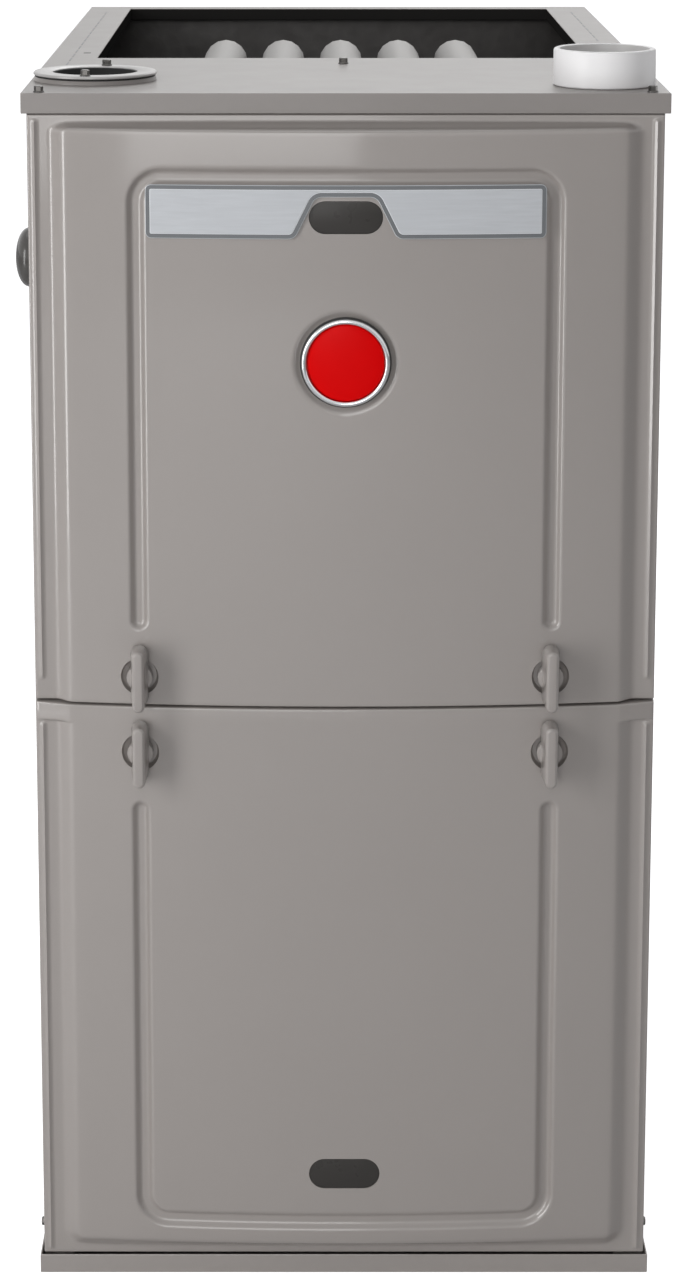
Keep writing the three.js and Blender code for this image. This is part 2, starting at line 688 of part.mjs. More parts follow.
// A domed rubber plug closes the gas line hole in the left side.
const plug = turned(
  "x",
  [
    [0, SHEET + 3],
    [PLUG_HOLE / 2 - SEAT, SHEET + 3],
    [PLUG_HOLE / 2 - SEAT, -SEAT],
    [PLUG_DIAMETER / 2, -SEAT],
    [PLUG_DIAMETER / 2, -PLUG_RISE * 0.35],
    [PLUG_DIAMETER * 0.42, -PLUG_RISE * 0.75],
    [PLUG_DIAMETER * 0.25, -PLUG_RISE],
    [0, -PLUG_RISE],
  ],
  plugPlace,
  20,
);
place(cabinet, "side_plug", plug, RUBBER, [-CASING_HALF, 0, 0]);

// ---------------------------------------------------------------- doors

// Height of the bowed field above the door's margin at a distance from the middle.
function bow(x) {
  const share = Math.min(1, Math.abs(x) / FIELD_FLAT);
  return FIELD_RISE + BOW_RISE * (1 - share * share);
}

// The space behind the bowed front, drawn back by `inset`, between two heights.
function bowedBlock(inset, heights, back = 2 + inset) {
  const half = DOOR_HALF - inset;
  const arc = Array.from({ length: BOW_STEPS + 1 }, (_, i) => {
    const x = -FIELD_FLAT + (2 * FIELD_FLAT * i) / BOW_STEPS;
    return [x, inset - bow(x)];
  });
  return prism(
    "z",
    polygon([[-half, back], [-half, inset], ...arc, [half, inset], [half, back]]),
    heights,
  );
}

// The raised field's outline with sloping sides, as a block that limits the bow.
function fieldBlock(inset, [foot, head]) {
  const ring = (shrink, y) =>
    roundedCorners(
      [-FIELD_HALF + shrink, FIELD_HALF - shrink],
      [foot + shrink, head - shrink],
      FIELD_CORNER,
    ).map(([x, z]) => [x, y, z]);
  return loft([
    ring(inset, inset + 1.5),
    ring(inset, inset),
    ring(inset + FIELD_BEVEL, inset - FIELD_RISE),
    ring(inset + FIELD_BEVEL, AHEAD),
  ]);
}

// A door pressed from sheet, its edges turned back. `wells` are outlines pressed in from the
// front, each to a flat floor or to a depth below the bow.
function pressedDoor({ heights, field, strip, wells, holes, beads }) {
  const [bottom, top] = heights;
  const body = (inset) => {
    const back = DOOR_RETURN + (inset ? 1 : 0);
    const inner = [bottom + inset, top - inset];
    const margin = box([-DOOR_HALF + inset, DOOR_HALF - inset], [inset, back], inner);
    const raised = bowedBlock(inset, inner).intersect(fieldBlock(inset, field));
    const lip = strip ? [bowedBlock(inset, [top - STRIP_HEIGHT + inset, top - inset])] : [];
    const pressed = wells.map(({ outline, floor, depth }) => {
      const reach = [AHEAD, floor === undefined ? 0 : floor + inset];
      const tool = prism("y", outline(inset), reach);
      if (floor !== undefined) return tool;
      return cut(tool, bowedBlock(depth + inset, [bottom - 1, top + 1]));
    });
    return cut(join(margin, raised, lip), pressed);
  };
  const ridges = [-1, 1].map((side) => {
    const x = side * (DOOR_HALF - BEAD_INSET);
    const half = BEAD_WIDTH / 2;
    return prism("z", polygon([[x - half, 0.2], [x, -BEAD_RISE], [x + half, 0.2]]), beads);
  });
  return cut(join(cut(body(0), body(DOOR_SHEET)), ridges), holes);
}

const latchWellFloor = LATCH_WELL_DEPTH - bow(LATCH_SPAN / 2);
const doorReach = [AHEAD, DOOR_RETURN];

// The well and the shaft hole of the latch at one height, on both sides.
function latchSeats(height) {
  const sides = [-LATCH_SPAN / 2, LATCH_SPAN / 2];
  const wells = sides.map((x) => ({
    outline: (grow) => circle(LATCH_WELL / 2 + grow, x, height, 18),
    floor: latchWellFloor,
  }));
  const bore = LATCH_SHAFT + 2 * TURN_CLEARANCE;
  const holes = sides.map((x) => prism("y", circle(bore / 2, x, height, 12), doorReach));
  return { wells, holes };
}

function capsule(height, grow) {
  const half = WINDOW_HEIGHT / 2 + grow;
  return roundedRectangle(
    [-WINDOW_WIDTH / 2 - grow, WINDOW_WIDTH / 2 + grow],
    [height - half, height + half],
    half - 0.01,
    5,
  );
}

const upperWindow = UPPER_TOP - UPPER_WINDOW_DROP;
const lowerWindow = LOWER_BOTTOM + LOWER_WINDOW_RISE;
const badgeHeight = UPPER_TOP - BADGE_DROP;
const upperSeats = latchSeats(SEAM_HEIGHT + UPPER_LATCH_RISE);
const lowerSeats = latchSeats(SEAM_HEIGHT - LOWER_LATCH_DROP);

const upperDoorPanel = pressedDoor({
  heights: [UPPER_BOTTOM, UPPER_TOP],
  field: [UPPER_BOTTOM - 4 * FIELD_CORNER, UPPER_TOP - FIELD_HEAD],
  wells: [
    {
      outline: (grow) =>
        channelOutline(
          CHANNEL_WIDTH + 2 * grow,
          UPPER_TOP - UPPER_CHANNEL_DROP,
          SEAM_HEIGHT + UPPER_CHANNEL_END,
        ),
      depth: CHANNEL_DEPTH,
    },
    { outline: (grow) => circle(BADGE_WELL / 2 + grow, 0, badgeHeight, 28), depth: BADGE_WELL_DEPTH },
    ...upperSeats.wells,
  ],
  holes: [prism("y", capsule(upperWindow, SEAT), doorReach), ...upperSeats.holes],
  beads: [SEAM_HEIGHT + BEAD_END, UPPER_TOP - BEAD_STOP],
});

const lowerDoorPanel = pressedDoor({
  heights: [LOWER_BOTTOM, LOWER_TOP],
  field: [LOWER_BOTTOM + FIELD_FOOT, LOWER_TOP + 4 * FIELD_CORNER],
  strip: true,
  wells: [
    {
      outline: (grow) =>
        channelOutline(
          CHANNEL_WIDTH + 2 * grow,
          LOWER_BOTTOM + LOWER_CHANNEL_RISE,
          SEAM_HEIGHT - LOWER_CHANNEL_END,
        ),
      depth: CHANNEL_DEPTH,
    },
    ...lowerSeats.wells,
  ],
  holes: [prism("y", capsule(lowerWindow, SEAT), doorReach), ...lowerSeats.holes],
  beads: [LOWER_BOTTOM + BEAD_STOP, SEAM_HEIGHT - BEAD_END],
});

const upperDoor = new THREE.Group();
const lowerDoor = new THREE.Group();
upperDoor.position.y = DOOR_SETBACK;
lowerDoor.position.y = DOOR_SETBACK;
cabinet.add(upperDoor, lowerDoor);
place(upperDoor, "upper_door", upperDoorPanel, PAINT);
place(lowerDoor, "lower_door", lowerDoorPanel, PAINT);

// Insulation behind each door, cut clear of the latches and the window.
function liner([bottom, top], window, latchHeight) {
  const front = DOOR_SHEET + SEAT;
  const half = DOOR_HALF - LINER_INSET;
  const slab = box([-half, half], [front, front + LINER_THICKNESS], [bottom, top]);
  const reach = [front - 1, front + LINER_THICKNESS + 1];
  const room = LATCH_WELL + 4;
  const openings = [-LATCH_SPAN / 2, LATCH_SPAN / 2].map((x) =>
    box(centred(x, room), reach, centred(latchHeight, room)),
  );
  return cut(slab, openings, prism("y", capsule(window, 3), reach));
}

const upperLinerHeights = [UPPER_BOTTOM + LINER_INSET, UPPER_TOP - LINER_INSET];
const lowerLinerHeights = [LOWER_BOTTOM + LINER_INSET, LOWER_TOP - STRIP_HEIGHT];
place(
  upperDoor,
  "upper_door_liner",
  liner(upperLinerHeights, upperWindow, SEAM_HEIGHT + UPPER_LATCH_RISE),
  LINER_FOIL,
);
place(
  lowerDoor,
  "lower_door_liner",
  liner(lowerLinerHeights, lowerWindow, SEAM_HEIGHT - LOWER_LATCH_DROP),
  LINER_FOIL,
);

// Each window is a smoked lens that fills its slot, with a flange behind the skin.
function windowLens(height) {
  const face = DOOR_FRONT + DOOR_SHEET / 2;
  const behind = DOOR_FRONT + DOOR_SHEET + 1;
  return join(
    prism("y", capsule(height, 0), [face, face + WINDOW_THICKNESS]),
    prism("y", capsule(height, 3), [behind, face + WINDOW_THICKNESS]),
  );
}
place(upperDoor, "upper_window", windowLens(upperWindow), SMOKED_GLASS);
place(lowerDoor, "lower_window", windowLens(lowerWindow), SMOKED_GLASS);

// The label plate follows the bow of the door, and its lower edge is notched for the window.
function labelPlate() {
  const top = UPPER_TOP - LABEL_DROP;
  const bottom = top - LABEL_HEIGHT;
  const half = LABEL_WIDTH / 2;
  const foot = LABEL_NOTCH_FOOT / 2;
  const head = LABEL_NOTCH_HEAD / 2;
  const bridge = top - LABEL_BRIDGE;
  const outline = polygon([
    [-half, bottom],
    [-foot, bottom],
    [-head, bridge],
    [head, bridge],
    [foot, bottom],
    [half, bottom],
    [half, top],
    [-half, top],
  ]);
  const heights = [bottom - 1, top + 1];
  const layer = cut(
    bowedBlock(-SEAT - LABEL_THICKNESS, heights, 0),
    bowedBlock(-SEAT, heights, 1),
  );
  return prism("y", outline, [AHEAD, 0]).intersect(layer);
}
place(upperDoor, "label_plate", labelPlate(), SILVER_LABEL);

// Round badge: a domed enamel disc in a chrome bezel, standing in the pressed well.
const badgeSeat = DOOR_FRONT + BADGE_WELL_DEPTH - SEAT;
const badgeFace = badgeSeat - BADGE_HEIGHT;
const bezel = turned(
  "y",
  [
    [BADGE_DISC / 2 + SEAT, badgeSeat],
    [BADGE_DISC / 2 + SEAT, badgeFace + 1],
    [BADGE_DISC / 2 + 1.4, badgeFace],
    [BADGE_BEZEL / 2 - 1.6, badgeFace],
    [BADGE_BEZEL / 2, badgeFace + 2.2],
    [BADGE_BEZEL / 2, badgeSeat],
    [BADGE_DISC / 2 + SEAT, badgeSeat],
  ],
  [0, badgeHeight],
  36,
);
const disc = turned(
  "y",
  [
    [0, badgeSeat],
    [BADGE_DISC / 2, badgeSeat],
    [BADGE_DISC / 2, badgeFace + 2],
    [BADGE_DISC / 3, badgeFace + 1],
    [BADGE_DISC / 6, badgeFace + 0.5],
    [0, badgeFace + 0.4],
  ],
  [0, badgeHeight],
  36,
);
place(upperDoor, "badge_bezel", bezel, CHROME);
place(upperDoor, "badge_disc", disc, RED_ENAMEL);

// A quarter-turn latch about the y axis. Its hub turns in the door's well, its shaft passes the
// skin, a collar holds it from behind, and its tongue lies behind the centre rail. The handle
// narrows from its foot to its face and has round ends.
function latch() {
  const floor = latchWellFloor - SEAT;
  const foot = latchWellFloor - LATCH_CLEARANCE;
  const face = latchWellFloor - LATCH_REACH;
  const collar = latchWellFloor + DOOR_SHEET + SEAT;
  const tongue = RAIL_FACE + SHEET + SEAT + 0.7 - DOOR_SETBACK;
  const hub = bar("y", LATCH_HUB, [foot - 1, floor], [0, 0], 18);
  const shaft = bar("y", LATCH_SHAFT, [floor - 1, tongue + LATCH_TONGUE_THICKNESS], [0, 0], 12);
  const washer = bar("y", LATCH_SHAFT + 8, [collar, collar + 2], [0, 0], 12);
  const blade = box(
    centred(0, LATCH_TONGUE_WIDTH),
    [tongue, tongue + LATCH_TONGUE_THICKNESS],
    centred(0, LATCH_TONGUE),
  );
  const ring = (y, width, inset) => {
    const half = width / 2 - inset;
    const heights = [-LATCH_BELOW + inset, LATCH_ABOVE - inset];
    return roundedCorners([-half, half], heights, 0.97 * half, 3).map(([x, z]) => [x, y, z]);
  };
  const grip = loft([
    ring(foot, LATCH_FOOT, 0),
    ring(face + LATCH_ROUND, LATCH_FACE, 0),
    ring(face, LATCH_FACE, LATCH_ROUND),
  ]);
  return join(hub, shaft, washer, blade, grip);
}
for (const { name, x, z } of latchPlaces) {
  const door = name.startsWith("upper") ? upperDoor : lowerDoor;
  place(door, `${name}_latch`, latch(), PAINT, [x, 0, z]);
}

// ---------------------------------------------------------------- heat exchanger

// One tube: back along the top, down round a bend, forward, down round a second bend, and back
// into the collector box.
function exchangerPath() {
  const path = new THREE.CurvePath();
  const point = (depth, height) => new THREE.Vector3(0, depth, height);
  const bend = (depth, top, radius, way) => {
    const reach = way * radius * (4 / 3);
    path.add(
      new THREE.CubicBezierCurve3(
        point(depth, top),
        point(depth + reach, top),
        point(depth + reach, top - 2 * radius),
        point(depth, top - 2 * radius),
      ),
    );
  };
  const start = VESTIBULE_DEPTH - 2;
  path.add(new THREE.LineCurve3(point(start, TUBE_TOP_AXIS), point(TUBE_TOP_RUN, TUBE_TOP_AXIS)));
  bend(TUBE_TOP_RUN, TUBE_TOP_AXIS, TUBE_UPPER_BEND, 1);
  path.add(
    new THREE.LineCurve3(
      point(TUBE_TOP_RUN, TUBE_MIDDLE_AXIS),
      point(TUBE_FRONT_TURN, TUBE_MIDDLE_AXIS),
    ),
  );
  bend(TUBE_FRONT_TURN, TUBE_MIDDLE_AXIS, TUBE_LOWER_BEND, -1);
  path.add(
    new THREE.LineCurve3(
      point(TUBE_FRONT_TURN, TUBE_LOW_AXIS),
      point(TUBE_REAR_END - SEAT, TUBE_LOW_AXIS),
    ),
  );
  return path;
}

// A round section swept along a plane path in y and z, with rings only where the path bends.
function sweptTube(path, diameter, wall, bendSteps = 5, sides = 10) {
  const stations = path.curves.flatMap((curve, i) => {
    const steps = curve.isLineCurve3 ? 1 : bendSteps;
    const first = i === 0 ? 0 : 1;
    return Array.from({ length: steps + 1 - first }, (_, k) => {
      const t = (k + first) / steps;
      return { at: curve.getPoint(t), along: curve.getTangent(t) };
    });
  });
  const ring = (radius, { at, along }, corners) =>
    Array.from({ length: corners }, (_, i) => {
      const turn = (2 * Math.PI * i) / corners;
      const across = radius * Math.cos(turn);
      const out = radius * Math.sin(turn);
      return [at.x + across, at.y - out * along.z, at.z + out * along.y];
    });
  const outer = loft(stations.map((s) => ring(diameter / 2, s, sides)));
  const lengthen = (s, way) => ({ at: s.at.clone().addScaledVector(s.along, way), along: s.along });
  const bored = [lengthen(stations[0], -1), ...stations.slice(1, -1), lengthen(stations.at(-1), 1)];
  return cut(outer, loft(bored.map((s) => ring(diameter / 2 - wall, s, sides - 2))));
}

const exchangerTube = sweptTube(exchangerPath(), TUBE_DIAMETER, TUBE_WALL);
tubeOffsets.forEach((x, i) => {
  place(cabinet, `exchanger_tube_${i + 1}`, exchangerTube, ALUMINISED, [x, 0, 0]);
});

// The rear collector takes the gas of every tube down to the condensing coil.
const collectorTop = TUBE_LOW_AXIS + COLLECTOR_RISE;
const coilBack = COIL_FRONT + COIL_DEPTH;
function collectorBox() {
  const half = COIL_WIDTH / 2;
  const back = TUBE_REAR_END + COLLECTOR_DEPTH;
  const front = coilBack + SEAT;
  const outer = prism(
    "x",
    polygon([
      [front, COIL_BOTTOM],
      [back, COIL_BOTTOM],
      [back, collectorTop],
      [TUBE_REAR_END, collectorTop],
      [TUBE_REAR_END, TUBE_LOW_AXIS - TUBE_DIAMETER],
      [front, COIL_BOTTOM + COIL_HEIGHT],
    ]),
    [-half, half],
  );
  const room = prism(
    "x",
    polygon([
      [front - 1, COIL_BOTTOM + SHEET],
      [back - SHEET, COIL_BOTTOM + SHEET],
      [back - SHEET, collectorTop - SHEET],
      [TUBE_REAR_END + SHEET, collectorTop - SHEET],
      [TUBE_REAR_END + SHEET, TUBE_LOW_AXIS - TUBE_DIAMETER],
      [front + SHEET, COIL_BOTTOM + COIL_HEIGHT - SHEET],
      [front - 1, COIL_BOTTOM + COIL_HEIGHT - SHEET],
    ]),
    [-half + SHEET, half - SHEET],
  );
  const reach = [TUBE_REAR_END - 1, TUBE_REAR_END + SHEET + 1];
  const ports = tubeOffsets.map((x) =>
    bar("y", TUBE_DIAMETER - 2 * TUBE_WALL, reach, [x, TUBE_LOW_AXIS], 10),
  );
  return cut(outer, room, ports);
}
place(cabinet, "collector_box", collectorBox(), GALVANISED);

// Condensing coil: fins between a front and a rear header plate, on two feet. The fins and feet
// stand a little inside the plates' edges.
function condensingCoil() {
  const heights = [COIL_BOTTOM, COIL_BOTTOM + COIL_HEIGHT];
  const plate = 2 * SHEET;
  const inset = 1;
  const window = box(
    centred(0, COIL_WIDTH - 2 * COIL_HEADER),
    [COIL_FRONT - 1, coilBack + 1],
    coilWindow,
  );
  const headers = [COIL_FRONT, coilBack - plate].map((from) =>
    cut(box(centred(0, COIL_WIDTH), [from, from + plate], heights), window),
  );
  const span = COIL_WIDTH - COIL_FIN_THICKNESS - 2 * inset;
  const fins = Array.from({ length: COIL_FINS }, (_, i) =>
    box(
      centred((i / (COIL_FINS - 1) - 0.5) * span, COIL_FIN_THICKNESS),
      [COIL_FRONT + SHEET, coilBack - SHEET],
      [heights[0] + inset, heights[1] - inset],
    ),
  );
  const feet = [-1, 1].map((side) =>
    box(
      centred((side * (COIL_WIDTH - COIL_HEADER)) / 2 - side * 2 * inset, COIL_HEADER - inset),
      [COIL_FRONT + inset, coilBack - inset],
      [DECK_TOP + SEAT, COIL_BOTTOM + 3 * inset],
    ),
  );
  return join(headers, fins, feet);
}
place(cabinet, "condensing_coil", condensingCoil(), ALUMINISED);

// ---------------------------------------------------------------- burners and gas train

const boxHeights = centred(BURNER_AXIS, BURNER_BOX_HEIGHT).map((z) => Math.min(z, CASING_TOP));
function burnerBox() {
  const outer = box(centred(0, BURNER_BOX_WIDTH), [BOX_FRONT, PANEL_FACE], boxHeights);
  const inner = box(
    centred(0, BURNER_BOX_WIDTH - 2 * SHEET),
    [BOX_FRONT + SHEET, PANEL_FACE + 1],
    [boxHeights[0] + SHEET, boxHeights[1] - SHEET],
  );
  const reach = [BOX_FRONT - 1, BOX_FRONT + SHEET + 1];
  const spudHoles = tubeOffsets.map((x) =>
    bar("y", SPUD_DIAMETER + 6, reach, [x, BURNER_AXIS], 12),
  );
  const side = BURNER_BOX_WIDTH / 2;
  const igniterHole = bar(
    "x",
    IGNITER_DIAMETER,
    [side - SHEET - 1, side + 1],
    [igniterDepth, BURNER_AXIS],
    10,
  );
  const sensorHole = bar(
    "x",
    IGNITER_DIAMETER,
    [-side - 1, -side + SHEET + 1],
    [igniterDepth, BURNER_AXIS],
    10,
  );
  return cut(outer, inner, spudHoles, igniterHole, sensorHole);
}

// Five inshot burners on one cross strip.
function burnerRack() {
  const front = BOX_FRONT + 14;
  const radius = BURNER_DIAMETER / 2;
  const profile = [
    [0, front + 14],
    [radius * 0.55, front + 10],
    [radius * 0.95, front],
    [radius, front],
    [radius * 0.62, front + BURNER_LENGTH * 0.4],
    [radius, front + BURNER_LENGTH],
    [0, front + BURNER_LENGTH],
  ];
  const burners = tubeOffsets.map((x) => turned("y", profile, [x, BURNER_AXIS], 10));
  const strip = box(
    centred(0, BURNER_BOX_WIDTH - 2 * SHEET - 2 * SEAT),
    centred(front + BURNER_LENGTH * 0.92, 3),
    [boxHeights[0] + SHEET + SEAT, BURNER_AXIS + radius],
  );
  return join(burners, strip);
}

// The manifold pipe runs across the burners and turns down into the gas valve.
const valveTop = BURNER_AXIS - VALVE_DROP;
function gasManifold() {
  const turn = MANIFOLD_DIAMETER;
  const end = tubeOffsets.at(-1) + MANIFOLD_END;
  const point = (x, z) => new THREE.Vector3(x, MANIFOLD_DEPTH, z);
  const path = new THREE.CurvePath();
  path.add(
    new THREE.LineCurve3(point(end, BURNER_AXIS), point(-VALVE_OFFSET + turn, BURNER_AXIS)),
  );
  path.add(
    new THREE.QuadraticBezierCurve3(
      point(-VALVE_OFFSET + turn, BURNER_AXIS),
      point(-VALVE_OFFSET, BURNER_AXIS),
      point(-VALVE_OFFSET, BURNER_AXIS - turn),
    ),
  );
  path.add(
    new THREE.LineCurve3(
      point(-VALVE_OFFSET, BURNER_AXIS - turn),
      point(-VALVE_OFFSET, valveTop + SEAT),
    ),
  );
  const pipe = tube(path, MANIFOLD_DIAMETER, MANIFOLD_DIAMETER - 2 * MANIFOLD_WALL, 10, 10);
  const spuds = tubeOffsets.map((x) =>
    bar(
      "y",
      SPUD_DIAMETER,
      [MANIFOLD_DEPTH + MANIFOLD_DIAMETER / 2 - 2, BOX_FRONT + 8],
      [x, BURNER_AXIS],
      8,
    ),
  );
  return join(pipe, spuds);
}

function gasValve() {
  const x = centred(-VALVE_OFFSET, VALVE_WIDTH);
  const y = centred(MANIFOLD_DEPTH, VALVE_DEPTH);
  const body = box(x, y, [valveTop - VALVE_HEIGHT, valveTop - 12]);
  const outlet = bar("z", VALVE_PORT, [valveTop - 13, valveTop], [-VALVE_OFFSET, MANIFOLD_DEPTH], 8);
  const head = bar(
    "z",
    VALVE_WIDTH * 0.8,
    [valveTop - VALVE_HEIGHT - 18, valveTop - VALVE_HEIGHT + 1],
    [-VALVE_OFFSET, MANIFOLD_DEPTH],
    20,
  );
  const inlet = bar(
    "x",
    VALVE_PORT,
    [x[0] - 12, x[0] + 1],
    [MANIFOLD_DEPTH, valveTop - VALVE_HEIGHT / 2],
    8,
  );
  const bracket = box(
    centred(-VALVE_OFFSET, VALVE_WIDTH * 0.6),
    [y[1] - 1, PANEL_FACE],
    centred(valveTop - VALVE_HEIGHT / 2, SHEET * 2),
  );
  return join(body, outlet, head, inlet, bracket);
}

// The valve's gas cock is a round knob with a raised bar, on the valve's front face.
const valveFront = MANIFOLD_DEPTH - VALVE_DEPTH / 2;
const knobPlace = [-VALVE_OFFSET, 0, valveTop - VALVE_HEIGHT / 2];
const valveKnob = join(
  bar("y", VALVE_SWITCH, [valveFront - VALVE_SWITCH_HEIGHT * 0.6, valveFront - SEAT], [0, 0], 20),
  box(
    centred(0, 5),
    [valveFront - VALVE_SWITCH_HEIGHT, valveFront - VALVE_SWITCH_HEIGHT * 0.5],
    centred(0, VALVE_SWITCH * 0.85),
  ),
);

const igniterDepth = PANEL_FACE - 7;

// A probe pushed in through the box's side on its ceramic holder, and its mounting plate.
function probe(side, length, ceramic) {
  const wall = (side * BURNER_BOX_WIDTH) / 2;
  const span = (a, b) => [wall + side * a, wall + side * b].sort((p, q) => p - q);
  const at = [igniterDepth, BURNER_AXIS];
  const holder = bar("x", IGNITER_DIAMETER - 2 * SEAT, span(12, -SHEET - 4), at, 10);
  const rod = bar("x", ceramic, span(-SHEET - 3, -length), at, 8);
  const plate = box(
    span(SEAT, SEAT + 2),
    centred(igniterDepth - 3, 15),
    centred(BURNER_AXIS, 26),
  );
  return join(holder, rod, plate);
}

place(cabinet, "burner_box", burnerBox(), GALVANISED);
place(cabinet, "burner_rack", burnerRack(), ALUMINISED);
place(cabinet, "gas_manifold", gasManifold(), BLACK_PIPE);
place(cabinet, "gas_valve", gasValve(), CAST_ALUMINIUM);
place(cabinet, "gas_valve_knob", valveKnob, BLACK_PLASTIC, knobPlace);
place(cabinet, "igniter", probe(1, IGNITER_LENGTH, IGNITER_ROD), CERAMIC);
place(cabinet, "flame_sensor", probe(-1, IGNITER_LENGTH, SENSOR_ROD), CERAMIC);

// Rollout switch on the burner box's face, with its manual reset button.
const rolloutFace = BOX_FRONT - SEAT;
const rolloutAt = [(BURNER_BOX_WIDTH - ROLLOUT_FLANGE) / 2 - 3, rolloutFace, BURNER_AXIS - 10];
const rolloutSwitch = cut(
  turned(
    "y",
    [
      [0, 0],
      [ROLLOUT_FLANGE / 2, 0],
      [ROLLOUT_FLANGE / 2, -SHEET],
      [ROLLOUT_DIAMETER / 2, -SHEET],
      [ROLLOUT_DIAMETER / 2, -ROLLOUT_LENGTH],
      [0, -ROLLOUT_LENGTH],
    ],
    [0, 0],
    14,
  ),
  bar("y", ROLLOUT_BUTTON + 2 * SEAT, [-ROLLOUT_LENGTH - 1, -ROLLOUT_LENGTH / 2], [0, 0], 12),
);
const resetButton = bar(
  "y",
  ROLLOUT_BUTTON,
  [-ROLLOUT_LENGTH - ROLLOUT_TRAVEL, -ROLLOUT_LENGTH / 2 - SEAT - ROLLOUT_TRAVEL],
  [0, 0],
  12,
);
place(cabinet, "rollout_switch", rolloutSwitch, BLACK_PLASTIC, rolloutAt);
place(cabinet, "rollout_reset_button", resetButton, RED_ENAMEL, rolloutAt);

// ---------------------------------------------------------------- inducer and vent

// The header box gathers the coil's flue gas behind the inducer.
function headerBox() {
  const depths = [PANEL_FACE - HEADER_BOX_DEPTH, PANEL_FACE];
  const heights = [COIL_BOTTOM, COIL_BOTTOM + COIL_HEIGHT];
  const outer = box(centred(0, COIL_WIDTH), depths, heights);
  const wall = INDUCER_WALL;
  const inner = box(
    centred(0, COIL_WIDTH - 2 * wall),
    [depths[0] + wall, PANEL_FACE + 1],
    [heights[0] + wall, heights[1] - wall],
  );
  const eye = bar(
    "y",
    INDUCER_OUTLET * 0.8,
    [depths[0] - 1, depths[0] + wall + 1],
    [INDUCER_OFFSET, INDUCER_AXIS_HEIGHT],
    20,
  );
  return cut(outer, inner, eye);
}

// Spiral outline about the origin whose radius shrinks from `wide` on the outlet's side, round
// the bottom and the top, to `tight` at the cut-off 60 degrees above the outlet's side.
function scrollOutline(wide, tight, top, steps = 20) {
  const sweep = (5 / 3) * Math.PI;
  const spiral = Array.from({ length: steps + 1 }, (_, i) => {
    const turn = (-sweep * i) / steps;
    const radius = wide - ((wide - tight) * i) / steps;
    return [radius * Math.cos(turn), radius * Math.sin(turn)];
  });
  const lip = spiral[steps][0];
  return polygon([[wide, top], ...spiral, [lip, top]]);
}

const inducerWide = INDUCER_RADIUS + INDUCER_GROWTH;
const inducerLip = INDUCER_RADIUS * Math.cos(Math.PI / 3);
const inducerOutletTop = INDUCER_RADIUS + 34;
const outletMiddle = [(inducerWide + inducerLip) / 2, (INDUCER_FRONT + INDUCER_BACK) / 2];

// A scroll's inside, drawn in by its wall, with the outlet's neck left its inner wall.
function scrollRoom(axis, wide, tight, top, wall, [from, to]) {
  const inside = [from + wall, to - wall];
  const whole = prism(axis, scrollOutline(wide - wall, tight - wall, top + 1), inside);
  const lip = tight * Math.cos(Math.PI / 3);
  const shoulder = tight * Math.sin(Math.PI / 3);
  const neckWall = polygon([
    [lip - 2 * wall, shoulder - wall],
    [lip + wall, shoulder - wall],
    [lip + wall, top + 2],
    [lip - 2 * wall, top + 2],
  ]);
  return cut(whole, prism(axis, neckWall, inside));
}

function inducerHousing() {
  const depths = [INDUCER_FRONT, INDUCER_BACK];
  const wall = INDUCER_WALL;
  const outer = prism("y", scrollOutline(inducerWide, INDUCER_RADIUS, inducerOutletTop), depths);
  const room = scrollRoom("y", inducerWide, INDUCER_RADIUS, inducerOutletTop, wall, depths);
  const flange = box(
    centred(outletMiddle[0], VENT_DIAMETER + 4),
    centred(outletMiddle[1], VENT_DIAMETER + 4),
    [inducerOutletTop - 3, inducerOutletTop],
  );
  const eye = bar("y", INDUCER_OUTLET * 0.8, [INDUCER_BACK - wall - 1, INDUCER_BACK + 1], [0, 0]);
  const shaftHole = bar("y", 12, [INDUCER_FRONT - 1, INDUCER_FRONT + wall + 1], [0, 0], 12);
  return cut(join(outer, flange), room, eye, shaftHole);
}
const inducerAt = [INDUCER_OFFSET, 0, INDUCER_AXIS_HEIGHT];

// A disc with straight blades, on a hub that turns on the motor's shaft.
function inducerWheel() {
  const back = INDUCER_BACK - INDUCER_WALL - 4;
  const front = back - INDUCER_WHEEL_WIDTH;
  const disc = bar("y", INDUCER_WHEEL, [front, front + 2], [0, 0], 24);
  const hub = bar("y", 20, [front - 6, front + 12], [0, 0], 12);
  const blades = Array.from({ length: 10 }, (_, i) => {
    const turn = (2 * Math.PI * i) / 10;
    const blade = box([INDUCER_WHEEL * 0.22, INDUCER_WHEEL / 2 - 0.5], [front + 1, back], [-1, 1]);
    return blade.rotate([0, (turn * 180) / Math.PI, 0]);
  });
  const bore = bar("y", 7, [front - 7, front + 10], [0, 0], 12);
  return cut(join(disc, hub, blades), bore);
}

function inducerMotor() {
  const face = INDUCER_FRONT - SEAT;
  const radius = INDUCER_MOTOR / 2;
  const body = turned(
    "y",
    [
      [0, face - INDUCER_MOTOR_LENGTH],
      [radius * 0.7, face - INDUCER_MOTOR_LENGTH],
      [radius, face - INDUCER_MOTOR_LENGTH + 10],
      [radius, face - 12],
      [radius * 0.8, face - 6],
      [radius * 0.8, face],
      [0, face],
    ],
    [0, 0],
    20,
  );
  const front = INDUCER_BACK - INDUCER_WALL - 4 - INDUCER_WHEEL_WIDTH;
  const shaft = bar("y", 6.2, [face - 1, front + 8], [0, 0], 12);
  return join(body, shaft);
}

place(cabinet, "header_box", headerBox(), BLACK_PLASTIC);
place(cabinet, "inducer_housing", inducerHousing(), BLACK_PLASTIC, inducerAt);
place(cabinet, "inducer_wheel", inducerWheel(), GALVANISED, inducerAt);
place(cabinet, "inducer_motor", inducerMotor(), MOTOR_PAINT, inducerAt);

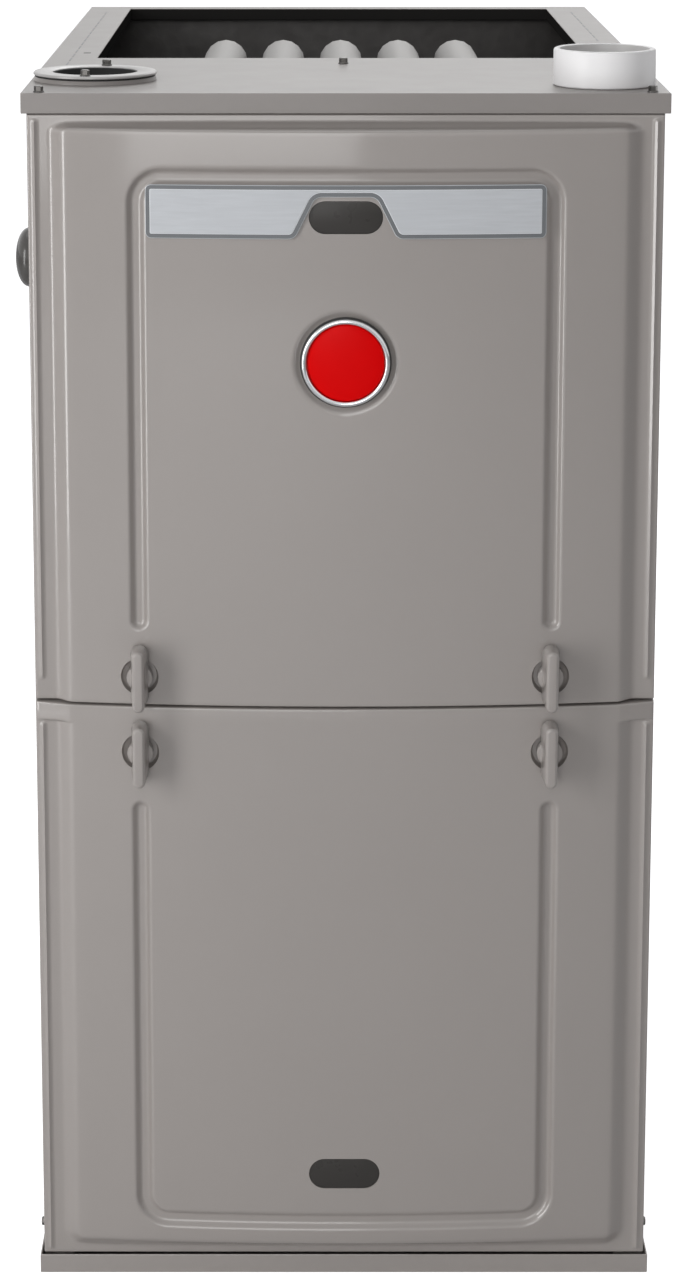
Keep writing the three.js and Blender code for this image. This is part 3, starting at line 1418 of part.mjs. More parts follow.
// The vent pipe stands on the inducer's outlet flange, crosses to the front right corner and
// rises through the deck.
const ventFoot = INDUCER_AXIS_HEIGHT + inducerOutletTop + SEAT;
const pipeTop = CABINET_HEIGHT + COUPLING_HEIGHT - COUPLING_SOCKET;
function ventPipe() {
  const point = (x, y, z) => new THREE.Vector3(x, y, z);
  const footX = INDUCER_OFFSET + outletMiddle[0];
  const footY = outletMiddle[1];
  const rise = ventFoot + VENT_DIAMETER / 3;
  const over = CABINET_HEIGHT - VENT_STRAIGHT;
  const crossing = over - ventFoot;
  const path = new THREE.CurvePath();
  path.add(new THREE.LineCurve3(point(footX, footY, ventFoot), point(footX, footY, rise)));
  path.add(
    new THREE.CubicBezierCurve3(
      point(footX, footY, rise),
      point(footX, footY, rise + crossing * 0.4),
      point(VENT_OFFSET, VENT_DEPTH, over - crossing * 0.5),
      point(VENT_OFFSET, VENT_DEPTH, over),
    ),
  );
  path.add(
    new THREE.LineCurve3(
      point(VENT_OFFSET, VENT_DEPTH, over),
      point(VENT_OFFSET, VENT_DEPTH, pipeTop),
    ),
  );
  return tube(path, VENT_DIAMETER, VENT_DIAMETER - 2 * VENT_WALL, 13, 14);
}

const ventCoupling = turned(
  "z",
  [
    [VENT_DIAMETER / 2 + SEAT, CABINET_HEIGHT + SEAT],
    [COUPLING_DIAMETER / 2, CABINET_HEIGHT + SEAT],
    [COUPLING_DIAMETER / 2, CABINET_HEIGHT + COUPLING_HEIGHT],
    [VENT_DIAMETER / 2 + 1, CABINET_HEIGHT + COUPLING_HEIGHT],
    [VENT_DIAMETER / 2 + SEAT, CABINET_HEIGHT + COUPLING_HEIGHT - 2],
    [VENT_DIAMETER / 2 + SEAT, CABINET_HEIGHT + SEAT],
  ],
  [VENT_OFFSET, VENT_DEPTH],
  32,
);
place(cabinet, "vent_pipe", ventPipe(), WHITE_PVC);
place(cabinet, "vent_coupling", ventCoupling, WHITE_PVC);

// ---------------------------------------------------------------- combustion air intake

function flatRing(outer, bore, [bottom, top]) {
  return turned(
    "z",
    [
      [bore / 2, bottom],
      [outer / 2, bottom],
      [outer / 2, top],
      [bore / 2, top],
      [bore / 2, bottom],
    ],
    [-INTAKE_OFFSET, INTAKE_DEPTH],
    30,
  );
}
const gasketTop = CABINET_HEIGHT + SEAT + GASKET_THICKNESS;
place(
  cabinet,
  "intake_gasket",
  flatRing(INTAKE_DIAMETER - 2, INTAKE_BORE, [CABINET_HEIGHT + SEAT, gasketTop]),
  RUBBER,
);
place(
  cabinet,
  "intake_flange",
  flatRing(INTAKE_DIAMETER, INTAKE_BORE, [gasketTop + SEAT, gasketTop + SEAT + INTAKE_THICKNESS]),
  DECK_PAINT,
);

// ---------------------------------------------------------------- pressure switch and drain

const switchHeight = DECK_TOP + PRESSURE_SWITCH_RISE;
const pressureSwitch = turned(
  "y",
  [
    [0, PANEL_FACE],
    [PRESSURE_SWITCH / 2 - 4, PANEL_FACE],
    [PRESSURE_SWITCH / 2, PANEL_FACE - 8],
    [PRESSURE_SWITCH / 2, PANEL_FACE - 13],
    [PRESSURE_SWITCH / 2 - 6, PANEL_FACE - 16],
    [9, PANEL_FACE - PRESSURE_SWITCH_DEPTH],
    [HOSE_DIAMETER / 2, PANEL_FACE - PRESSURE_SWITCH_DEPTH],
    [HOSE_DIAMETER / 2, PANEL_FACE - PRESSURE_SWITCH_DEPTH - NIPPLE_LENGTH],
    [0, PANEL_FACE - PRESSURE_SWITCH_DEPTH - NIPPLE_LENGTH],
  ],
  [-PRESSURE_SWITCH_OFFSET, switchHeight],
  20,
);
place(cabinet, "pressure_switch", pressureSwitch, SWITCH_GREY);

// A rubber hose runs from the switch's nipple to the header box.
const hoseStart = PANEL_FACE - PRESSURE_SWITCH_DEPTH - NIPPLE_LENGTH - SEAT;
const hoseEnd = PANEL_FACE - HEADER_BOX_DEPTH - SEAT;
const hoseX = HOSE_INSET - COIL_WIDTH / 2;
const hoseZ = COIL_BOTTOM + COIL_HEIGHT - HOSE_BELOW;
function pressureHose() {
  const point = (x, y, z) => new THREE.Vector3(x, y, z);
  const path = new THREE.CurvePath();
  const front = hoseStart - HOSE_BOW;
  path.add(
    new THREE.CubicBezierCurve3(
      point(-PRESSURE_SWITCH_OFFSET, hoseStart, switchHeight),
      point(-PRESSURE_SWITCH_OFFSET, front, switchHeight),
      point(-PRESSURE_SWITCH_OFFSET, front, switchHeight - HOSE_DROP),
      point((hoseX - PRESSURE_SWITCH_OFFSET) / 2, front, (switchHeight + hoseZ) / 2),
    ),
  );
  path.add(
    new THREE.CubicBezierCurve3(
      point((hoseX - PRESSURE_SWITCH_OFFSET) / 2, front, (switchHeight + hoseZ) / 2),
      point(hoseX, front, hoseZ + HOSE_DROP),
      point(hoseX, hoseEnd - HOSE_BOW, hoseZ),
      point(hoseX, hoseEnd, hoseZ),
    ),
  );
  return tube(path, HOSE_DIAMETER, HOSE_BORE, 12, 8);
}
place(cabinet, "pressure_hose", pressureHose(), RUBBER);

// The condensate trap stands on the blower deck, with its drain stub to the left.
const trapX = centred(-TRAP_OFFSET, TRAP_WIDTH);
const trapY = [PANEL_FACE - TRAP_DEPTH, PANEL_FACE];
const trapZ = [DECK_TOP + SEAT, DECK_TOP + SEAT + TRAP_HEIGHT];
const drainTrap = join(
  box(trapX, trapY, trapZ),
  bar(
    "y",
    TRAP_STUB,
    [trapY[0] - TRAP_STUB_LENGTH, trapY[0] + 1],
    [-TRAP_OFFSET, trapZ[0] + TRAP_STUB_RISE],
    10,
  ),
  bar(
    "z",
    TRAP_STUB,
    [trapZ[1] - 1, trapZ[1] + TRAP_INLET_RISE],
    [-TRAP_OFFSET, trapY[0] + TRAP_INLET_DEPTH],
    10,
  ),
);
place(cabinet, "drain_trap", drainTrap, BLACK_PLASTIC);

// ---------------------------------------------------------------- blower

const blowerAt = [0, BLOWER_DEPTH, BLOWER_AXIS_HEIGHT];
const outletTop = HOUSING_TOP - BLOWER_AXIS_HEIGHT;
function blowerHousing() {
  const widths = centred(0, BLOWER_WIDTH);
  const half = BLOWER_WIDTH / 2;
  const outer = prism("x", scrollOutline(BLOWER_MOUTH, BLOWER_TONGUE, outletTop), widths);
  const room = scrollRoom("x", BLOWER_MOUTH, BLOWER_TONGUE, outletTop, SHEET, widths);
  const eyes = bar("x", BLOWER_INLET, [-half - 1, half + 1], [0, 0], 28);
  const flanges = [-1, 1].map((side) => {
    const from = side < 0 ? -half - BLOWER_FLANGE : half - SHEET;
    return box(
      [from, from + BLOWER_FLANGE + SHEET],
      [BLOWER_TONGUE * Math.cos(Math.PI / 3), BLOWER_MOUTH],
      [outletTop - 2 * SHEET, outletTop],
    );
  });
  return cut(join(outer, flanges), room, eyes);
}

// Squirrel cage wheel: blades between two rings and a middle disc on a bored hub.
function blowerWheel() {
  const radius = WHEEL_DIAMETER / 2;
  const half = WHEEL_WIDTH / 2;
  const ringAt = (from) =>
    cut(
      bar("x", WHEEL_DIAMETER, [from, from + WHEEL_RING], [0, 0], WHEEL_BLADES),
      bar(
        "x",
        WHEEL_DIAMETER - 2 * WHEEL_BLADE_DEPTH,
        [from - 1, from + WHEEL_RING + 1],
        [0, 0],
        WHEEL_BLADES,
      ),
    );
  const disc = bar("x", WHEEL_DIAMETER - 4, [-1, 1], [0, 0], WHEEL_BLADES);
  const blades = Array.from({ length: WHEEL_BLADES }, (_, i) => {
    const middle = radius - WHEEL_BLADE_DEPTH / 2;
    const blade = box(
      [-half + 1, half - 1],
      centred(0, WHEEL_BLADE_THICKNESS),
      centred(0, WHEEL_BLADE_DEPTH - 2),
    );
    return blade.rotate([22, 0, 0]).translate([0, 0, middle]).rotate([(360 * i) / WHEEL_BLADES, 0, 0]);
  });
  const hub = bar("x", WHEEL_HUB, [-16, 16], [0, 0], 16);
  const bore = bar("x", MOTOR_SHAFT + 2 * SEAT, [-17, 17], [0, 0], 16);
  return cut(join(ringAt(-half), ringAt(half - WHEEL_RING), disc, hub, blades), bore);
}

const motorBack = -BLOWER_WIDTH / 2 - 14;
function blowerMotor() {
  const radius = MOTOR_DIAMETER / 2;
  const body = turned(
    "x",
    [
      [0, motorBack],
      [radius * 0.75, motorBack],
      [radius, motorBack + 10],
      [radius, motorBack + MOTOR_LENGTH - 10],
      [radius * 0.75, motorBack + MOTOR_LENGTH],
      [0, motorBack + MOTOR_LENGTH],
    ],
    [0, 0],
    24,
  );
  const shaft = bar("x", MOTOR_SHAFT, [motorBack + MOTOR_LENGTH - 1, 14], [0, 0], 16);
  return join(body, shaft);
}

// A belly band round the motor with three arms to the rim of the housing's inlet.
function motorBracket() {
  const inner = MOTOR_DIAMETER + 2 * SEAT;
  const outer = inner + 2 * BAND_THICKNESS;
  const from = -BLOWER_WIDTH / 2 - SEAT - BAND_THICKNESS;
  const band = cut(
    bar("x", outer, [from, from + BAND_WIDTH], [0, 0], 24),
    bar("x", inner, [from - 1, from + BAND_WIDTH + 1], [0, 0], 24),
  );
  const arms = [90, 210, 330].map((turn) =>
    box(
      [from, from + BAND_THICKNESS],
      centred(0, ARM_WIDTH),
      [outer / 2 - 1, BLOWER_INLET / 2 + 14],
    ).rotate([turn, 0, 0]),
  );
  return join(band, arms);
}

place(cabinet, "blower_housing", blowerHousing(), GALVANISED, blowerAt);
place(cabinet, "blower_wheel", blowerWheel(), GALVANISED, blowerAt);
place(cabinet, "blower_motor", blowerMotor(), MOTOR_PAINT, blowerAt);
place(cabinet, "motor_bracket", motorBracket(), STEEL, blowerAt);

// ---------------------------------------------------------------- controls

const bracketFront = BRACKET_DEPTH;
function controlBracket() {
  const top = DECK_UNDER - SEAT;
  const plate = box(
    centred(0, BRACKET_WIDTH),
    [bracketFront, bracketFront + SHEET],
    [DECK_UNDER - BRACKET_DROP, top],
  );
  const flange = box(
    centred(0, BRACKET_WIDTH),
    [bracketFront, bracketFront + BRACKET_FLANGE],
    [top - SHEET, top],
  );
  return join(plate, flange);
}

// Circuit board with its relays, terminals and standoffs.
const boardHeight = DECK_UNDER - BRACKET_DROP / 2 - BOARD_DROP;
const boardX = -BOARD_OFFSET;
function controlBoard() {
  const back = bracketFront - SEAT - BOARD_STANDOFF;
  const face = back - BOARD_THICKNESS;
  const board = box(
    centred(boardX, BOARD_WIDTH),
    [face, back],
    centred(boardHeight, BOARD_HEIGHT),
  );
  const across = BOARD_WIDTH / 2 - STANDOFF_INSET;
  const above = BOARD_HEIGHT / 2 - STANDOFF_INSET;
  const standoffs = [-1, 1].flatMap((side) =>
    [-1, 1].map((level) =>
      bar(
        "y",
        STANDOFF_DIAMETER,
        [back - 0.5, bracketFront - SEAT],
        [boardX + side * across, boardHeight + level * above],
        6,
      ),
    ),
  );
  const block = (x, z, width, height, depth) =>
    box(
      centred(boardX + x, width),
      [face - depth, face + 0.5],
      centred(boardHeight + z, height),
    );
  const relays = Array.from({ length: RELAY_COUNT }, (_, i) =>
    block(i * RELAY_PITCH - RELAY_START, RELAY_RISE, RELAY_WIDTH, RELAY_HEIGHT, RELAY_DEPTH),
  );
  const terminals = block(
    -TERMINALS_OFFSET,
    -TERMINALS_DROP,
    TERMINALS_WIDTH,
    TERMINALS_HEIGHT,
    TERMINALS_DEPTH,
  );
  const plugSocket = block(SOCKET_OFFSET, SOCKET_RISE, SOCKET_WIDTH, SOCKET_HEIGHT, SOCKET_DEPTH);
  return join(board, standoffs, relays, terminals, plugSocket);
}

const transformerX = TRANSFORMER_OFFSET;
function transformer() {
  const back = bracketFront - SEAT;
  const core = box(
    centred(transformerX, TRANSFORMER_WIDTH),
    [back - TRANSFORMER_DEPTH + TRANSFORMER_STEP, back],
    centred(boardHeight, TRANSFORMER_HEIGHT * 0.72),
  );
  const coil = box(
    centred(transformerX, TRANSFORMER_WIDTH * 0.6),
    [back - TRANSFORMER_DEPTH, back - 2],
    centred(boardHeight, TRANSFORMER_HEIGHT * 0.6),
  );
  const foot = box(
    centred(transformerX, TRANSFORMER_WIDTH * 0.5),
    [back - 2, back],
    centred(boardHeight, TRANSFORMER_HEIGHT),
  );
  return join(core, coil, foot);
}

place(cabinet, "control_bracket", controlBracket(), GALVANISED);
place(cabinet, "control_board", controlBoard(), BOARD_GREEN);
place(cabinet, "transformer", transformer(), STEEL);

// Door interlock switch behind the centre rail, its plunger towards the lower door.
const switchFront = RAIL_FACE + SHEET + SEAT;
const switchAt = [SWITCH_OFFSET, 0, SEAM_HEIGHT - SWITCH_DROP];
const doorSwitch = cut(
  box(centred(0, SWITCH_BODY), [switchFront, switchFront + SWITCH_DEPTH], centred(0, SWITCH_BODY * 0.7)),
  bar("y", PLUNGER_DIAMETER + 2 * SEAT, [switchFront - 1, switchFront + 14], [0, 0], 12),
);
const doorSwitchPlunger = bar(
  "y",
  PLUNGER_DIAMETER,
  [DOOR_SETBACK + DOOR_SHEET + LINER_THICKNESS + 3, switchFront + 8],
  [0, 0],
  12,
);
place(cabinet, "door_switch", doorSwitch, BLACK_PLASTIC, switchAt);
place(cabinet, "door_switch_plunger", doorSwitchPlunger, WHITE_PVC, switchAt);

export default furnace;
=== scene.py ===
"""Looks of a forced air gas furnace: pressed doors, satin enamel, plated and plastic fittings.

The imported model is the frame. Pieces whose shape is right there keep it and get softened
edges and a finish; the doors, plates, rings and tubes are modelled afresh, in place.
"""

import json
import logging
from abc import ABC, abstractmethod
from collections.abc import Callable, Sequence
from dataclasses import dataclass
from enum import Enum
from functools import cached_property
from math import cos, hypot, inf, pi, radians, sin, sqrt

import bpy
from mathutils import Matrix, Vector

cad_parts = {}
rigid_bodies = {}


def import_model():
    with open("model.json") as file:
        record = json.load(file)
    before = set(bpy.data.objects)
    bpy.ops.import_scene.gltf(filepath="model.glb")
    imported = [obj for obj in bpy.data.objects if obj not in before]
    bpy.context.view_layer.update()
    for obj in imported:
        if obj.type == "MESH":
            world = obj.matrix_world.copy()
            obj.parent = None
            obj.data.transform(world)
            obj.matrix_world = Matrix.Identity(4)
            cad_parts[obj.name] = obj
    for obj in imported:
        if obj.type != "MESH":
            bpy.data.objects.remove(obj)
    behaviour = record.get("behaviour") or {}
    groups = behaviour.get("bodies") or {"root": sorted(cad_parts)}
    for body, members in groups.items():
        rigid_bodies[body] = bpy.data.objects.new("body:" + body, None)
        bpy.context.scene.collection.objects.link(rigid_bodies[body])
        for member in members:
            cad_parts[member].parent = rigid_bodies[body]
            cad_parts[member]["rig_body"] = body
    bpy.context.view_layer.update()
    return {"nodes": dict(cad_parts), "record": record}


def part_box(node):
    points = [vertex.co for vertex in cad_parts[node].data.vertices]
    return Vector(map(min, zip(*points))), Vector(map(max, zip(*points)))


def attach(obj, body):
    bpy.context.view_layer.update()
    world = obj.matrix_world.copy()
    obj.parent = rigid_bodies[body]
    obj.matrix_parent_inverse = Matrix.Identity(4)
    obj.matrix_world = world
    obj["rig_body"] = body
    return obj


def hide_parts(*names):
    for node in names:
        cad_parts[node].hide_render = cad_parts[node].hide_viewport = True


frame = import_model()

LOG = logging.getLogger("furnace")
MM = 0.001
MERGE = 0.01 * MM

Piece = bpy.types.Object
Material = bpy.types.Material
Colour = tuple[float, float, float, float]
Point = tuple[float, float, float]
Station = tuple[float, float, bool]

BLACKEST: Colour = (0.0, 0.0, 0.0, 1.0)
WHITEST: Colour = (1.0, 1.0, 1.0, 1.0)


def tint(red: int, green: int, blue: int) -> Colour:
    """Turns a screen colour, 0 to 255, into the linear colour that a shader takes."""

    def linear(value: int) -> float:
        share = value / 255
        return share / 12.92 if share <= 0.04045 else ((share + 0.055) / 1.055) ** 2.4

    return (linear(red), linear(green), linear(blue), 1.0)


def dimmed(colour: Colour, share: float) -> Colour:
    """A colour with only a share of its light."""
    return (*(part * share for part in colour[:3]), 1.0)


# ---- shader expressions


class Shade:
    """A value that varies over a surface: a node socket that Python's operators work on."""

    def __init__(self, recipe: "Recipe", socket: bpy.types.NodeSocket) -> None:
        """Wraps one output socket of a recipe's node tree."""
        self.recipe = recipe
        self.socket = socket

    def _maths(self, operation: str, *terms: "Shade | float") -> "Shade":
        """Adds a Math node over the terms."""
        return self.recipe.node("ShaderNodeMath", {"operation": operation}, dict(enumerate(terms)))

    def __add__(self, other: "Shade | float") -> "Shade":
        """Sum."""
        return self._maths("ADD", self, other)

    def __mul__(self, other: "Shade | float") -> "Shade":
        """Product."""
        return self._maths("MULTIPLY", self, other)

    def __or__(self, other: "Shade") -> "Shade":
        """The greater of the two."""
        return self._maths("MAXIMUM", self, other)

    __radd__ = __add__
    __rmul__ = __mul__


class Recipe:
    """The node tree of a material or a world, built one node at a time."""

    def __init__(self, owner: Material | bpy.types.World) -> None:
        """Opens the owner's node tree."""
        owner.use_nodes = True
        self.tree = owner.node_tree

    @cached_property
    def shader(self) -> bpy.types.Node:
        """A material's Principled shader."""
        return next(n for n in self.tree.nodes if n.type == "BSDF_PRINCIPLED")

    @cached_property
    def place(self) -> Shade:
        """Object coordinates."""
        return self.node("ShaderNodeTexCoord", out="Object")

    def node(
        self,
        kind: str,
        settings: dict[str, object] | None = None,
        inputs: dict[str | int, object] | None = None,
        out: str | int = 0,
    ) -> Shade:
        """Adds a node.

        Args:
            kind: the node's type.
            settings: its properties.
            inputs: a value or a Shade for each socket that is set.
            out: the output that is wanted.

        Returns:
            The wanted output.
        """
        made = self.tree.nodes.new(kind)
        for key, value in (settings or {}).items():
            setattr(made, key, value)
        for key, value in (inputs or {}).items():
            self.feed(made.inputs[key], value)
        return Shade(self, made.outputs[out])

    def feed(self, socket: bpy.types.NodeSocket, value: object) -> None:
        """Links a Shade to a socket, or writes a plain value on it."""
        if isinstance(value, Shade):
            self.tree.links.new(value.socket, socket)
        else:
            socket.default_value = value

    def paint(self, **sockets: object) -> None:
        """Feeds the shader's sockets; an underscore in a name stands for a space."""
        for name, value in sockets.items():
            self.feed(self.shader.inputs[name.replace("_", " ")], value)

    def noise(self, scale: float, detail: float, at: Shade | None = None) -> Shade:
        """Cloudy noise from 0 to 1, with a scale in cycles per metre."""
        inputs = {"Vector": at or self.place, "Scale": scale, "Detail": detail}
        return self.node("ShaderNodeTexNoise", None, inputs)

    def cells(self, scale: float, out: str = "Color") -> Shade:
        """Voronoi cells, with a scale in cells per metre."""
        return self.node("ShaderNodeTexVoronoi", None, {"Vector": self.place, "Scale": scale}, out)

    def mix(self, share: Shade | float, first: object, second: object) -> Shade:
        """A colour between two, by a share."""
        settings = {"data_type": "RGBA"}
        return self.node("ShaderNodeMix", settings, {0: share, 6: first, 7: second}, out=2)

    def bump(self, height: Shade, depth: float, strength: float) -> None:
        """Raises the surface's normal by a height, over a depth in metres."""
        inputs = {"Height": height, "Distance": depth, "Strength": strength}
        self.paint(Normal=self.node("ShaderNodeBump", None, inputs))


# ---- finishes


@dataclass(frozen=True)
class Finish(ABC):
    """A named surface in two near tones of one colour."""

    name: str
    colour: Colour

    @abstractmethod
    def lay(self, recipe: Recipe) -> None:
        """Paints the recipe's shader."""

    def tones(self, recipe: Recipe, share: Shade, dark: float) -> Shade:
        """The colour where the share is one, dimmed where it is nought."""
        return recipe.mix(share, dimmed(self.colour, dark), self.colour)

    def mix_up(self) -> Material:
        """Builds the material."""
        material = bpy.data.materials.new(self.name)
        self.lay(Recipe(material))
        return material


@dataclass(frozen=True)
class Enamel(Finish):
    """Baked enamel on steel: satin, with a faint orange peel and a slow drift of tone."""

    roughness: float = 0.42
    drift: float = 0.05
    coat: float = 0.9

    def lay(self, recipe: Recipe) -> None:
        """Paints the recipe's shader."""
        recipe.paint(
            Base_Color=self.tones(recipe, recipe.noise(7, 2), 1 - self.drift),
            Roughness=self.roughness - 0.04 + 0.08 * recipe.noise(40, 3),
            Coat_Weight=self.coat,
            Coat_Roughness=0.09,
        )
        recipe.bump(recipe.noise(420, 2), 0.05 * MM, 0.35)


@dataclass(frozen=True)
class Sheet(Finish):
    """Bare or coated sheet metal, with a crystal spangle or drawn streaks."""

    roughness: float
    spangle: float = 0.0
    streak: Point = (1.0, 1.0, 1.0)
    metallic: float = 1.0

    def lay(self, recipe: Recipe) -> None:
        """Paints the recipe's shader."""
        drawn = {"Vector": recipe.place, "Scale": self.streak}
        share = grain = recipe.noise(60, 4, recipe.node("ShaderNodeMapping", None, drawn))
        if self.spangle:
            crystal = recipe.node("ShaderNodeSeparateColor", None, {0: recipe.cells(self.spangle)})
            share = 0.7 * crystal + 0.3 * grain
        recipe.paint(
            Base_Color=self.tones(recipe, share, 0.8),
            Roughness=self.roughness - 0.07 + 0.14 * share,
            Metallic=self.metallic,
        )
        recipe.bump(grain, 0.06 * MM, 0.3)


@dataclass(frozen=True)
class Moulding(Finish):
    """Plastic, rubber or enamel that is one colour, from matt to glossy."""

    roughness: float
    texture: float = 300.0
    depth: float = 0.05
    gloss: float = 0.5

    def lay(self, recipe: Recipe) -> None:
        """Paints the recipe's shader."""
        recipe.paint(
            Base_Color=self.tones(recipe, recipe.noise(25, 3), 0.9),
            Roughness=self.roughness - 0.03 + 0.06 * recipe.noise(90, 3),
            Specular_IOR_Level=self.gloss,
        )
        recipe.bump(recipe.noise(self.texture, 3), self.depth * MM, 0.4)


@dataclass(frozen=True)
class GlassMat(Finish):
    """Glass fibre matting, bare or faced with crinkled foil."""

    metallic: float

    def lay(self, recipe: Recipe) -> None:
        """Paints the recipe's shader."""
        # One texture sets both the relief and the tone: the mat is darker where the relief is low,
        # painted shade in its hollows.
        crinkle_and_shade = recipe.cells(90, "Distance") * 0.6 + recipe.noise(160, 5) * 0.4
        recipe.paint(
            Base_Color=self.tones(recipe, crinkle_and_shade, 0.55),
            Roughness=0.45 + 0.3 * recipe.noise(60, 4),
            Metallic=self.metallic,
        )
        recipe.bump(crinkle_and_shade, 0.8 * MM, 0.6)


@dataclass(frozen=True)
class Laminate(Finish):
    """A circuit board's lacquer, with its copper runs showing through."""

    copper: Colour

    def lay(self, recipe: Recipe) -> None:
        """Paints the recipe's shader."""
        upright = {"Vector": recipe.place, "Rotation": (pi / 2, 0.0, 0.0)}
        bricks = {
            "Vector": recipe.node("ShaderNodeMapping", None, upright),
            "Scale": 60.0,
            "Mortar Size": 0.012,
            "Color1": BLACKEST,
            "Color2": BLACKEST,
            "Mortar": WHITEST,
        }
        runs = recipe.node("ShaderNodeTexBrick", {"offset": 0.35, "squash": 1.6}, bricks, "Fac")
        recipe.paint(Base_Color=recipe.mix(runs, self.colour, self.copper), Roughness=0.35)
        recipe.bump(runs, 0.05 * MM, 0.5)


class Coat(Enum):
    """Every finish on the furnace; those of the record's slots bear the slots' names."""

    PAINT = Enamel("satin_grey_enamel", tint(153, 147, 143))
    # Painted shade: the deck takes a darker copy of the body's enamel, with less coat, to offset
    # the stronger light and glare on its top face.
    DECK_PAINT = Enamel("deck_enamel_painted_shade", tint(138, 133, 130), 0.46, 0.03, 0.15)
    ZINC = Sheet("zinc_plated_ring", tint(186, 184, 183), 0.36, metallic=0.25)
    SCREW = Sheet("dark_screw_steel", tint(96, 94, 92), 0.24)
    GALVANISED = Sheet("galvanised_spangle", tint(196, 199, 201), 0.42, 150.0)
    ALUMINISED = Sheet("aluminised_tube", tint(150, 148, 146), 0.55, 0, (8, 0.6, 8), 0.35)
    SILVER_LABEL = Sheet("silver_lacquer", tint(196, 199, 203), 0.5, 0, (0.4, 9, 9), 0.1)
    # Painted highlight: a bright copy of the plate's silver for the thin raised step inside the
    # label's border.
    EDGE = Sheet("painted_highlight_plate_edge", tint(236, 238, 241), 0.36, metallic=0.1)
    BORDER = Moulding("dark_plate_border", tint(108, 111, 114), 0.4)
    # Painted shade: a dark coat for the hem faces inside the deck's opening.
    HEM = Moulding("painted_shade_hem", tint(44, 43, 42), 0.9, 300.0, 0.02, 0.0)
    CHROME = Sheet("bright_chrome", tint(214, 216, 218), 0.14)
    RED_ENAMEL = Moulding("badge_red", tint(222, 2, 4), 0.3, 60.0, 0.01, 0.06)
    SMOKED_LENS = Moulding("lens_smoke", tint(60, 58, 56), 0.28, 80.0, 0.01, 0.2)
    BLACK_PLASTIC = Moulding("black_moulding", tint(30, 30, 30), 0.5)
    PLUG = Moulding("hole_plug_grey", tint(70, 68, 66), 0.2, 120.0, 0.02)
    RUBBER = Moulding("dull_rubber", tint(26, 26, 26), 0.75, 500.0, 0.1)
    LINER = GlassMat("foil_faced_mat", tint(186, 188, 190), 0.8)
    # The mats stand for a real liner; their dark colour is painted shade behind the tubes.
    DARK_MAT = GlassMat("painted_shade_fibre_mat", tint(60, 57, 55), 0.0)
    WHITE_PVC = Moulding("white_pipe_plastic", tint(253, 252, 252), 0.42, 150.0, 0.02, 0.3)
    # A greyer copy of the white plastic: painted shade for the coupling's bore.
    SOCKET = Moulding("pipe_socket_painted_shade", tint(212, 210, 209), 0.4, 150.0, 0.02)
    BLACK_PIPE = Moulding("black_pipe_paint", tint(44, 44, 44), 0.5, 400.0, 0.2)
    CAST_ALUMINIUM = Sheet("die_casting", tint(172, 174, 175), 0.5)
    MOTOR_PAINT = Enamel("motor_enamel", tint(74, 77, 80), 0.45)
    CIRCUIT_BOARD = Laminate("board_lacquer", tint(34, 92, 54), tint(86, 140, 74))
    STEEL = Sheet("plain_steel", tint(170, 173, 176), 0.34, streak=(3, 3, 20))
    CERAMIC = Moulding("white_ceramic", tint(232, 226, 212), 0.5)
    SWITCH_GREY = Moulding("grey_moulding", tint(92, 95, 98), 0.42)

    @property
    def material(self) -> Material:
        """The finish's material, made once."""
        return bpy.data.materials.get(self.value.name) or self.value.mix_up()


NODE_SLOTS: dict[str, str] = {s["node"]: s["material_slot"] for s in frame["record"]["subparts"]}


# ---- bench work


def pick(*pieces: Piece) -> None:
    """Selects the pieces alone and makes the first one active."""
    bpy.ops.object.select_all(action="DESELECT")
    for piece in pieces:
        piece.select_set(True)
    bpy.context.view_layer.objects.active = pieces[0]


def edit(piece: Piece, mode: str = "FACE") -> None:
    """Opens a piece in edit mode with everything selected."""
    pick(piece)
    bpy.ops.object.mode_set(mode="EDIT")
    bpy.ops.mesh.select_mode(type=mode)
    bpy.ops.mesh.select_all(action="SELECT")


def leave() -> None:
    """Back to object mode."""
    bpy.ops.object.mode_set(mode="OBJECT")


def remove_where(piece: Piece, test: Callable[[Vector], bool]) -> None:
    """In edit mode, deletes the faces whose centre passes a test."""
    bpy.ops.mesh.select_all(action="DESELECT")
    leave()
    for face in piece.data.polygons:
        face.select = test(face.center)
    bpy.ops.object.mode_set(mode="EDIT")
    bpy.ops.mesh.delete(type="FACE")


def modify(piece: Piece, kind: str, **settings: object) -> None:
    """Adds a modifier and applies it."""
    pick(piece)
    modifier = piece.modifiers.new(kind.lower(), kind)
    for key, value in settings.items():
        setattr(modifier, key, value)
    bpy.ops.object.modifier_apply(modifier=modifier.name)


def rounded(piece: Piece, width: float, segments: int) -> None:
    """Rounds the edges that are sharper than 35 degrees; the width is in mm."""
    sharp = {"limit_method": "ANGLE", "angle_limit": radians(35), "use_clamp_overlap": True}
    modify(piece, "BEVEL", width=width * MM, segments=segments, **sharp)


def settle(
    piece: Piece,
    slot: str,
    stands_for: str = "",
    smooth: float = 32,
    body: str = "cabinet",
    coat: Coat | None = None,
) -> Piece:
    """Finishes a named piece: puts its place in its mesh, coats it and fits it to a body.

    Args:
        piece: the piece, modelled where it belongs.
        slot: the record's material slot.
        stands_for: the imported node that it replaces, if any.
        smooth: the sharpest angle in degrees that still shades smooth.
        body: the body that it moves with.
        coat: its finish, where it isn't the slot's own.

    Returns:
        The piece.
    """
    piece.data.name = piece.name
    pick(piece)
    bpy.ops.object.transform_apply(location=True, rotation=True, scale=True)
    bpy.ops.object.shade_smooth_by_angle(angle=radians(smooth))
    if not piece.data.materials:
        piece.data.materials.append((coat or Coat[slot.upper()]).material)
    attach(piece, body)
    if stands_for:
        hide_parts(stands_for)
    LOG.info("%s: %d faces on %s", piece.name, len(piece.data.polygons), body)
    return piece


def placed(name: str, data: bpy.types.ID) -> Piece:
    """A new object in the scene that shows some data."""
    piece = bpy.data.objects.new(name, data)
    bpy.context.scene.collection.objects.link(piece)
    return piece


def middle(node: str) -> Point:
    """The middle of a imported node's box, in metres."""
    return tuple((low + high) / 2 for low, high in zip(*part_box(node)))


